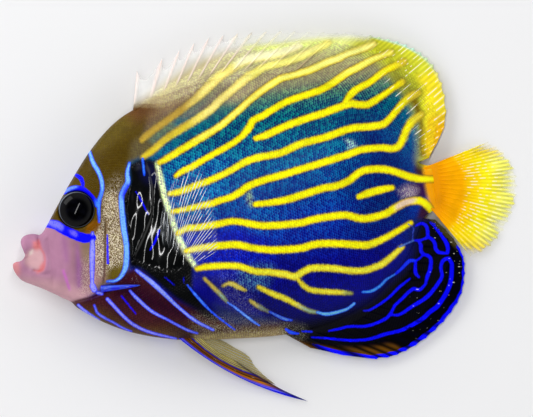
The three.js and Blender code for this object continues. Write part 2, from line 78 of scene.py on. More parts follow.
# Fineness of the grids: places round the skin, from throat to lips and over the lips; stations along the
# trunk as (start, end, count); for each fin the columns from ray to ray and the places along a ray.
SKIN_ROUND, THROAT_STEPS, LIP_STEPS = 142, 9, 38
TRUNK_STEPS = (HEAD_PLANE, 40, 125), (40, 97, 160), (97, SKIN_END, 26)
DORSAL_GRID, ANAL_GRID, CAUDAL_GRID = (12, 64), (10, 72), (12, 80)
PELVIC_GRID, PECTORAL_GRID = (8, 60), (12, 48)
# Seeds of the scales' small differences.
TRUNK_SEEDS, DORSAL_SEED, ANAL_SEED = {1: 11, -1: 12}, 21, 31

# The side view's place in the frame: the left eye's node is centred on the eye.
eye_low, eye_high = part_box("eye_left")
ORIGIN = np.array([(eye_low.x + eye_high.x) / 2 - EYE_X * MM, (eye_low.y + eye_high.y) / 2 - EYE_Y * MM, 0])


def to_frame(points):
    """Side-view millimetres to metres in the frame."""
    return np.asarray(points, float) * MM + ORIGIN


def ease(t):
    """0 below 0, 1 above 1, and smooth between: 3t² - 2t³."""
    s = np.clip(t, 0, 1)
    return s * s * (3 - 2 * s)


def mix(a, b, t):
    return a + (b - a) * t


def bell(distance, width):
    """A soft bump: e to the power of minus the square of distance over width."""
    return np.exp(-((distance / width) ** 2))


def colour(red, green, blue):
    """Screen values 0 to 255 as linear light."""
    c = np.array([red, green, blue]) / 255
    return np.where(c <= 0.04045, c / 12.92, ((c + 0.055) / 1.055) ** 2.4)


def through(knots):
    """A smooth curve through knots [t, value, ...]: cubic pieces whose slopes come from the neighbours."""
    table = np.array(knots, float)
    t, values = table[:, 0], table[:, 1:]
    after = np.minimum(np.arange(len(t)) + 1, len(t) - 1)
    before = np.maximum(np.arange(len(t)) - 1, 0)
    slope = (values[after] - values[before]) / (t[after] - t[before])[:, None]

    def at(x):
        x = np.clip(np.asarray(x, float), t[0], t[-1])
        i = np.clip(np.searchsorted(t, x, side="left") - 1, 0, len(t) - 2)
        d = (t[i + 1] - t[i])[..., None]
        s = (x - t[i])[..., None] / d
        h = s * s * (3 - 2 * s)
        p = s * (1 - s) ** 2 * d
        q = s * s * (s - 1) * d
        made = values[i] * (1 - h) + values[i + 1] * h + slope[i] * p + slope[i + 1] * q
        return made[..., 0] if made.shape[-1] == 1 else made

    return at


def along(points, step=0.3):
    """Points step apart on the smooth curve through given points [x, y, ...]."""
    points = np.array(points, float)
    reach = np.concatenate([[0], np.cumsum(np.hypot(*np.diff(points[:, :2], axis=0).T))])
    curve = through(np.column_stack([reach, points]))
    return curve(np.linspace(0, reach[-1], max(int(reach[-1] / step), 2) + 1))


# The body's outline and thickness, as in the solids.
BACK = through([
    [7.4, 6.0], [8.6, 7.1], [10, 8.9], [13, 13.2], [16.5, 18], [22, 24.8], [28, 30.4], [33.5, 33.5],
    [44, 36.8], [58, 39], [74, 37.4], [82, 34.2], [89, 29.4], [95, 23.4], [99, 17.2], [101.4, 12.7],
    [103.4, 11.5],
])
BELLY = through([
    [7.4, -7.3], [11, -9.7], [13.2, -11.1], [14.4, -12.6], [20, -16.7], [27, -20.3], [36, -23],
    [44, -24.2], [63, -25.4], [74, -24.4], [82, -21.9], [88, -18.5], [94, -13], [98, -7.2], [101, -1.4],
    [103.4, 0.2],
])
HALF_WIDTH = through([
    [7.4, 3.3], [12, 4.8], [18, 6.3], [26, 7.7], [35, 8.3], [45, 8.4], [56, 7.8], [70, 6.3], [85, 4.4],
    [95, 3.1], [103.4, 2.1],
])
BACK_EDGE = through([[7.4, 0.5], [30, 0.7], [36, 1.0], [103.4, 0.9]])
BELLY_EDGE = through([
    [7.4, 0.6], [14, 0.8], [30, 1.6], [37, 2.7], [44, 2.6], [55, 1.4], [64, 1.0], [103.4, 0.9],
])
BACK_TAPER = through([[7.4, 0.45], [24, 0.45], [42, 1.2], [103.4, 1.2]])
BELLY_TAPER = through([[7.4, 0.5], [46, 0.5], [68, 1.2], [103.4, 1.2]])
GILL_LINE = through([
    [0, 14], [0.05, 15.6], [0.12, 20.5], [0.2, 25], [0.29, 28.6], [0.38, 30.6], [0.45, 33],
    [0.53, 35.4], [0.64, 36.4], [0.78, 35.6], [1, 33.6],
])


def median(x, y):
    """Height of the fish's middle sheet: level along the trunk, sinking to the back, belly and tail."""
    above = REST_HEIGHT - EDGE_HEIGHT
    for way, (share, start, span) in ((x, TAIL_SINK), (y, BACK_SINK), (-y, BELLY_SINK)):
        above = above * (1 - share * ease((way - start) / span))
    return EDGE_HEIGHT + above


def dent(x, y):
    """The flank pressed up by the fin that lies under it: an oval with a soft border."""
    r = np.hypot((x - UNDER_FIN_X) / UNDER_FIN_LONG, (y - UNDER_FIN_Y) / UNDER_FIN_HIGH)
    return UNDER_FIN_DENT * (1 - ease((r - 0.85) / 0.3))


def half_body(x, v):
    """Half the body's thickness at x and at share v of its height, before any detail: a rounded hump over
    the share from the widest place to the edge, joined to the eye's mound by their sixth powers."""
    up = v > WIDEST
    s = np.where(up, (v - WIDEST) / (1 - WIDEST), (WIDEST - v) / WIDEST)
    edge = np.where(up, BACK_EDGE(x), BELLY_EDGE(x))
    taper = np.where(up, BACK_TAPER(x), BELLY_TAPER(x))
    h = edge + (HALF_WIDTH(x) - edge) * np.maximum(1 - s ** (FULLNESS + taper), 0) ** taper
    r = np.hypot(x - EYE_X, mix(BELLY(x), BACK(x), v) - EYE_Y)
    mound = MOUND_HALF * (1 - ease((r - MOUND_RADIUS) / MOUND_SLOPE))
    return (h**6 + mound**6) ** (1 / 6)


# The drawing board: a grid over the side view that the marks and the relief are drawn on.
CELL = 0.2
BOARD_X = np.arange(-4, 130, CELL)
BOARD_Y = np.arange(-48, 54, CELL)
GRID_X, GRID_Y = np.meshgrid(BOARD_X, BOARD_Y, indexing="ij")


def window(x, y, reach):
    """The board's cells within reach of a point."""
    i = slice(max(int((x - reach - BOARD_X[0]) / CELL), 0), int((x + reach - BOARD_X[0]) / CELL) + 2)
    j = slice(max(int((y - reach - BOARD_Y[0]) / CELL), 0), int((y + reach - BOARD_Y[0]) / CELL) + 2)
    return i, j


def strokes(lines, reach=3.0, tags=None):
    """Signed distance to the edge of the nearest stroke, negative inside. A line is points [x, y, half
    width]. With tags, also the tag of the nearest stroke."""
    far = np.full(GRID_X.shape, reach)
    tagged = None if tags is None else np.zeros(GRID_X.shape + np.shape(tags[0]))
    for k, line in enumerate(lines):
        for x, y, half in along(line):
            w = window(x, y, reach + 1)
            d = np.hypot(GRID_X[w] - x, GRID_Y[w] - y) - half
            near = d < far[w]
            far[w] = np.where(near, d, far[w])
            if tags is not None:
                tagged[w][near] = tags[k]
    return far if tags is None else (far, tagged)


def region(points, soft):
    """1 inside a smooth closed outline, 0 outside, with an edge soft millimetres wide."""
    ring = along([*points, points[0]], 0.4)[:-1]
    far = np.full(GRID_X.shape, soft)
    for x, y in ring:
        w = window(x, y, soft)
        far[w] = np.minimum(far[w], np.hypot(GRID_X[w] - x, GRID_Y[w] - y))
    odd = np.zeros(GRID_X.shape, bool)
    for (xa, ya), (xb, yb) in zip(ring, np.roll(ring, -1, axis=0)):
        if ya != yb:
            span = slice(*np.searchsorted(BOARD_Y, sorted((ya, yb)), side="right"))
            odd[:, span] ^= BOARD_X[:, None] < xa + (BOARD_Y[span] - ya) * (xb - xa) / (yb - ya)
    return ease(0.5 + np.where(odd, far, -far) / (2 * soft))


def look_up(drawing, x, y):
    """The drawing's value at places of the side view, between its cells."""
    i = np.clip((x - BOARD_X[0]) / CELL, 0, len(BOARD_X) - 1.001)
    j = np.clip((y - BOARD_Y[0]) / CELL, 0, len(BOARD_Y) - 1.001)
    a, b = i.astype(int), j.astype(int)
    s, t = i - a, j - b
    if drawing.ndim > 2:
        s, t = s[..., None], t[..., None]
    low = drawing[a, b] * (1 - s) + drawing[a + 1, b] * s
    high = drawing[a, b + 1] * (1 - s) + drawing[a + 1, b + 1] * s
    return low * (1 - t) + high * t


def tapered(points, ends=0.75):
    """A stroke's points [x, y, half width], drawn in at both ends."""
    points = np.array(points, float)
    points[[0, -1], 2] *= ends
    return points.tolist()


def wide(points, half):
    """A stroke of one half width, drawn in at both ends."""
    return tapered([(x, y, half) for x, y in points])


def painted(board, patches):
    """The board with soft regions laid over it one after another: each is (outline, soft, colour)."""
    for outline, soft, shade in patches:
        board = mix(board, colour(*shade), region(outline, soft)[..., None])
    return board


# Yellow stripes of the flank, from the back down: points [x, y, half width] on the middle line.
STRIPES = [
    [(35.2, 26.1, 0.69), (37.1, 27.5, 0.68), (43.4, 31, 0.66), (49.5, 34.6, 0.74), (51.4, 36, 0.91),
     (55.3, 38.8, 0.90), (57.5, 39.9, 0.75), (61.8, 42, 0.82), (64.3, 42.5, 0.88), (71.5, 43, 0.86),
     (76.1, 44.2, 0.74)],
    [(35.1, 22, 0.68), (37.2, 23.1, 0.67), (41.3, 25.8, 0.73), (52.2, 31.1, 0.80), (56.1, 34, 0.76),
     (58.2, 35.3, 0.79), (62.2, 38, 0.93), (64.4, 39, 0.86), (66.7, 40.1, 0.74), (73.9, 41.1, 0.79),
     (80.9, 43.3, 0.77), (83.2, 44.1, 0.86)],
    [(38.8, 20.1, 0.94), (41, 21, 0.84), (47.6, 24, 0.94), (54.2, 27, 0.87), (60.3, 31, 0.85),
     (62.2, 32.4, 0.84), (66.4, 34.9, 0.89), (70.7, 36.9, 0.89), (73.1, 37.2, 0.84), (77.9, 38.1, 0.93),
     (82.6, 39.5, 0.93), (84.9, 40, 0.93), (87.2, 40.8, 0.84), (91.9, 41.8, 0.84), (94.2, 42.5, 0.84)],
    [(42.3, 16.4, 0.80), (44.4, 17.4, 0.80), (46.7, 18.2, 0.80), (51, 20.1, 0.80), (57.5, 22.8, 0.80),
     (59.5, 24.1, 0.80), (61.3, 25.7, 0.94), (62.7, 27.5, 0.91), (64.9, 28.3, 0.88), (71.4, 31.1, 0.87),
     (80.6, 33.2, 0.91), (86.9, 36.3, 0.94), (89.1, 37.1, 0.94), (93.5, 38.8, 0.87), (98.1, 40, 0.84)],
    [(62.7, 23.1, 0.87), (65.1, 23.5, 0.92), (69.8, 25, 0.94), (74.6, 26.2, 0.94), (79.4, 27.1, 0.94),
     (86.6, 28.7, 0.94), (88.9, 28.2, 0.94), (91.2, 28.1, 0.94), (100, 32.5, 0.84)],
    [(85.6, 29.4, 0.94), (87.4, 31.2, 0.94), (89.5, 32.4, 0.88), (91.9, 33.3, 0.84), (96.2, 35.7, 0.84),
     (101, 37.3, 0.88)],
    [(40.3, 12.2, 0.84), (42.7, 12.4, 0.84), (47.4, 13.6, 0.84), (49.7, 14.1, 0.86), (54.3, 15.5, 0.86),
     (61, 18.1, 0.94), (68.1, 18.8, 0.94), (72.7, 20.2, 0.94), (75, 20.7, 0.94), (79.7, 21.3, 0.94),
     (84.4, 22.4, 0.94), (86.8, 22.7, 0.94), (93.8, 22.7, 0.94), (95.8, 23.9, 0.86), (99.3, 27.2, 0.84),
     (101.4, 28.6, 0.84), (103.6, 29.4, 0.84)],
    [(40.6, 7.8, 0.84), (50.3, 8.7, 0.86), (52.7, 9.2, 0.86), (55.1, 9.6, 0.86), (57.3, 10.5, 0.94),
     (59.4, 11.7, 0.94), (64.2, 12.9, 0.94), (66.6, 13.2, 0.94), (83.4, 16.2, 0.94), (88.1, 17.2, 0.91),
     (93, 17.1, 0.88), (95.3, 16.6, 0.92), (97.2, 17, 0.91), (99.8, 21.1, 0.88), (101.5, 22.8, 0.94),
     (103.6, 24, 0.94)],
    [(60.7, 7.1, 0.94), (68, 7.3, 0.94), (77.5, 9, 0.94), (79.9, 9.1, 0.94), (82.3, 9.5, 0.94),
     (84.4, 10.3, 0.94), (86.5, 11.6, 0.94), (88.9, 12.2, 0.94), (93.7, 11.6, 0.92), (100.3, 8.7, 0.93),
     (105, 7.9, 0.94)],
    [(86, 5.9, 0.94), (88, 6.4, 0.94), (92.2, 7, 0.89), (94.3, 7.1, 0.91)],
    [(41.1, 2.4, 0.84), (43.3, 3.3, 0.84), (45.7, 3.3, 0.84), (50.3, 3.4, 0.86), (55, 3.7, 0.86),
     (61.8, 1.8, 0.94), (71.2, 1.3, 0.94), (73.5, 1.7, 0.94), (80.5, 2, 0.94), (82.8, 1.7, 0.94),
     (85, 0.8, 0.94), (87.2, 0.4, 0.94), (91.8, 1, 0.94), (96.1, 2.8, 0.94), (98.5, 3.3, 0.94),
     (100.9, 3, 0.94), (102.4, 1.7, 0.94), (103.4, -0.2, 0.93)],
    [(42.7, -2.1, 0.87), (45.1, -1.8, 0.84), (54.5, -2, 0.94), (59, -3.4, 0.89), (63.7, -4.4, 0.94),
     (70.6, -4.8, 0.94), (73, -4.4, 0.94), (75.3, -4.3, 0.94), (80, -4.9, 0.94), (84.7, -5.8, 0.94),
     (87, -6, 0.94), (91.3, -4.8, 0.84), (97.8, -2, 0.84)],
    [(44.7, -6.7, 0.84), (47.1, -6.5, 0.84), (54.4, -7.2, 0.84), (58.8, -9.1, 0.84), (61.2, -9.5, 0.84),
     (65.9, -10.7, 0.88), (68.1, -11.5, 0.90), (70.2, -10.6, 0.86), (72.4, -10, 0.88),
     (77.1, -10.6, 0.86), (84.2, -12.1, 0.84), (88.8, -11.4, 0.84), (90.9, -10.4, 0.84), (95, -7.6, 0.84)],
    [(68.5, -11.8, 0.60), (69.9, -13.9, 0.62), (71.8, -15.3, 0.70), (79, -16.8, 0.62), (81.4, -17.3, 0.46)],
    [(59, -13, 0.72), (62.8, -15.4, 0.72), (64.8, -16.4, 0.72), (70.4, -20.2, 0.48), (72.5, -20.9, 0.44)],
    [(50.4, -11.6, 0.44), (52.3, -11.2, 0.54), (54, -12.3, 0.58), (55.7, -13.3, 0.46)],
    [(46.2, -9.3, 0.46), (49.5, -13.5, 0.50), (51, -15.7, 0.38)],
    [(56.6, -16.1, 0.52), (58.6, -17.8, 0.50), (60.6, -19.2, 0.38)],
]
# The pale line that bounds the black patch behind the gill cover.
PATCH_EDGE = [(38.2, 20), (38.6, 15.6), (39.1, 11.2), (40, 6.8), (40.9, 2.4), (42.4, -2), (44.3, -6)]

ELECTRIC = colour(8, 8, 255)
PALE_BLUE = colour(125, 190, 255)
SKY = colour(60, 150, 240)
LILAC = colour(150, 150, 255)
# Blue lines of head, breast and anal fin: points [x, y, half width] and the colour at the core.
LINES = [
    ([(22.1, 24.7, 0.56), (22.6, 22.2, 0.56), (23.6, 19.9, 0.56), (24.2, 17.4, 0.53), (24, 14.9, 0.48),
      (23, 12.5, 0.51), (22.4, 7.5, 0.34)], PALE_BLUE),
    ([(18.1, 19.6, 0.50), (19.2, 18.6, 0.50), (19.6, 17, 0.50)], ELECTRIC),
    ([(14.7, 15.7, 0.70), (17.1, 16.4, 0.67), (19.4, 15.9, 0.55), (21.1, 14.1, 0.57), (22.3, 11.8, 0.84)],
     ELECTRIC),
    ([(9.2, 8.7, 1.12), (11.7, 8.1, 1.12), (13.8, 6.5, 1.12), (18.1, 4.1, 1.12), (20.4, 3.9, 1.12)],
     ELECTRIC),
    ([(10.9, 8.5, 0.62), (13, 7, 0.62)], LILAC),
    ([(15.2, 5.7, 0.60), (16.2, 5.2, 0.60)], LILAC),
    ([(20.5, 5.1, 0.50), (19.8, 0, 0.67), (18.8, -7.6, 0.56)], LILAC),
    ([(18.9, -7.7, 0.95), (19.2, -8.7, 0.95)], LILAC),
    ([(19.9, -9.6, 0.55), (20.9, -9.9, 0.55)], LILAC),
    ([(24, 4.1, 0.27), (23.3, -2.7, 0.42)], colour(90, 60, 255)),
    ([(31.5, 20.9, 0.44), (30.7, 18.7, 0.51), (30.5, 16.3, 0.65), (29.4, 14.6, 0.69), (28.5, 12.6, 0.66),
      (28.2, 5.5, 0.70), (28.3, 0.8, 0.66), (27.6, -3.8, 0.68), (26.6, -5.7, 0.55), (24.9, -7.1, 0.41),
      (22.6, -7.1, 0.41)], PALE_BLUE),
    ([(34.8, 21.5, 0.43), (34.7, 17.6, 0.41)], SKY),
    ([(32.2, 13.8, 0.19), (33.1, 11.8, 0.23), (34.5, 7.8, 0.19)], ELECTRIC),
    ([(36.7, 3.8, 0.28), (35.5, 1.4, 0.28), (33.9, -0.8, 0.24)], ELECTRIC),
    ([(36.7, -7.8, 0.22), (38.7, -10, 0.22)], ELECTRIC),
    ([(41.2, -8.3, 0.20), (41.1, -9.8, 0.20)], ELECTRIC),
    ([(14.8, -12, 0.50), (16.2, -13.6, 0.38), (19.3, -16.3, 0.43)], LILAC),
    ([(18.7, -12.5, 0.36), (19.4, -14.7, 0.32), (23.1, -17.5, 0.28), (24.9, -18.9, 0.28),
      (26.9, -20, 0.28)], LILAC),
    ([(22.1, -11.4, 0.62), (26.6, -17.4, 0.44), (30.5, -20.3, 0.38), (37.4, -23.1, 0.38)], LILAC),
    ([(25.6, -11.1, 0.29), (28.5, -15.8, 0.25)], ELECTRIC),
    ([(27.8, -10, 0.44), (29.2, -12, 0.46), (32.5, -15.7, 0.42), (36.5, -18.5, 0.32), (40.5, -21.3, 0.32),
      (42.8, -22.4, 0.32)], colour(148, 158, 255)),
    ([(30, -5.3, 0.54), (33.4, -8.7, 0.62), (39.5, -16, 0.42), (42.9, -19.4, 0.40), (46.8, -22.1, 0.40)],
     colour(152, 168, 255)),
    ([(41.8, -10.3, 0.29), (44.3, -14.1, 0.37), (47.1, -17.8, 0.26), (52, -22.7, 0.29)],
     colour(90, 165, 255)),
    ([(51, -15.7, 0.29), (52.8, -17.3, 0.30), (56.2, -20.7, 0.34), (58, -22.3, 0.32)], colour(156, 220, 250)),
    ([(60.8, -19.2, 0.32), (64.1, -21.4, 0.43), (66.1, -22.1, 0.34)], colour(90, 140, 220)),
    ([(94.4, -7.4, 0.35), (98.2, -6.3, 0.30)], colour(150, 190, 190)),
    ([(84.1, -17.3, 0.43), (86.4, -17.3, 0.41), (88.7, -16.2, 0.36), (90.2, -15, 0.34), (92.4, -14, 0.34)],
     colour(70, 160, 220)),
    ([(92.4, -14, 0.34), (93.7, -13.2, 0.36), (96.4, -11.2, 0.44), (97.9, -11.3, 0.42)], colour(20, 60, 250)),
    ([(72.5, -20.9, 0.47), (74.8, -21.6, 0.48), (79.7, -21, 0.39), (81.8, -19.8, 0.47)],
     colour(110, 190, 235)),
    ([(64.4, -24.1, 0.40), (65.5, -25, 0.42), (67.2, -25.5, 0.36)], colour(40, 100, 255)),
    ([(68.2, -25, 0.30), (70.6, -25.5, 0.34)], colour(30, 70, 250)),
    ([(70.4, -26.8, 0.28), (74.9, -27.7, 0.28), (79.4, -28.7, 0.31), (84.1, -29, 0.36),
      (88.7, -28.2, 0.42), (91.1, -28, 0.40), (93.3, -27.5, 0.42), (97.7, -25.7, 0.50),
      (100, -24.1, 0.54), (102, -22.9, 0.55), (105.4, -18.4, 0.54), (106.6, -13.4, 0.48),
      (106.3, -12.3, 0.42), (105.8, -11.8, 0.30)], ELECTRIC),
    ([(102.6, -2.5, 0.30), (103.6, -3.4, 0.42), (105.9, -7.8, 0.50), (106.1, -9.3, 0.48),
      (105.9, -10.4, 0.44)], ELECTRIC),
    ([(101.6, -5.9, 0.42), (102.6, -6.7, 0.42), (103.1, -7.8, 0.42), (103.1, -8.9, 0.44),
      (103.7, -9.9, 0.42), (105.9, -10.5, 0.38)], ELECTRIC),
    ([(98.9, -2.9, 0.28), (99.7, -2.5, 0.34), (100.9, -2.6, 0.38), (101.6, -3.5, 0.42),
      (101.5, -5.9, 0.40), (100.5, -6.3, 0.28), (99.3, -6.5, 0.34), (98.2, -6.3, 0.32)], ELECTRIC),
    ([(97.2, -2.2, 0.20), (98.3, -3.4, 0.20), (98, -4.6, 0.18), (97.8, -5.9, 0.20)], colour(120, 140, 190)),
    ([(99.2, -6.6, 0.38), (99.6, -7.6, 0.44), (99.5, -9, 0.44), (99.9, -9.9, 0.42), (100.9, -10.4, 0.40),
      (101.6, -11.2, 0.42), (101.3, -13.4, 0.48), (100.1, -15.9, 0.42), (99.7, -17.2, 0.40)], ELECTRIC),
    ([(97.9, -11.3, 0.38), (97.5, -14.2, 0.44), (98.2, -15.4, 0.38)], ELECTRIC),
    ([(97.9, -11.3, 0.32), (98.9, -10.9, 0.28), (99.7, -10.2, 0.28)], ELECTRIC),
    ([(83.7, -21.9, 0.22), (85.3, -21.9, 0.28), (89.9, -19.7, 0.30), (93.2, -17.2, 0.34),
      (96, -15.5, 0.30)], ELECTRIC),
    ([(74.8, -25.8, 0.30), (77.2, -25.6, 0.31), (79.6, -25.3, 0.32), (84.3, -25.7, 0.34),
      (88.9, -24.5, 0.38), (90.4, -23.2, 0.36), (91.5, -21.6, 0.35), (93.1, -20.4, 0.37),
      (96.4, -18.1, 0.42), (98, -18.5, 0.40), (99.7, -17.2, 0.38)], ELECTRIC),
    ([(90.4, -23.8, 0.32), (92.4, -23.9, 0.36), (95.5, -22.4, 0.42), (99.8, -20.3, 0.48),
      (103.3, -16.8, 0.42), (103.9, -15.6, 0.40), (103.8, -14.3, 0.40), (104, -13.1, 0.40),
      (104.6, -12.1, 0.42), (105.6, -11.7, 0.44), (106.4, -11.7, 0.30)], ELECTRIC),
]


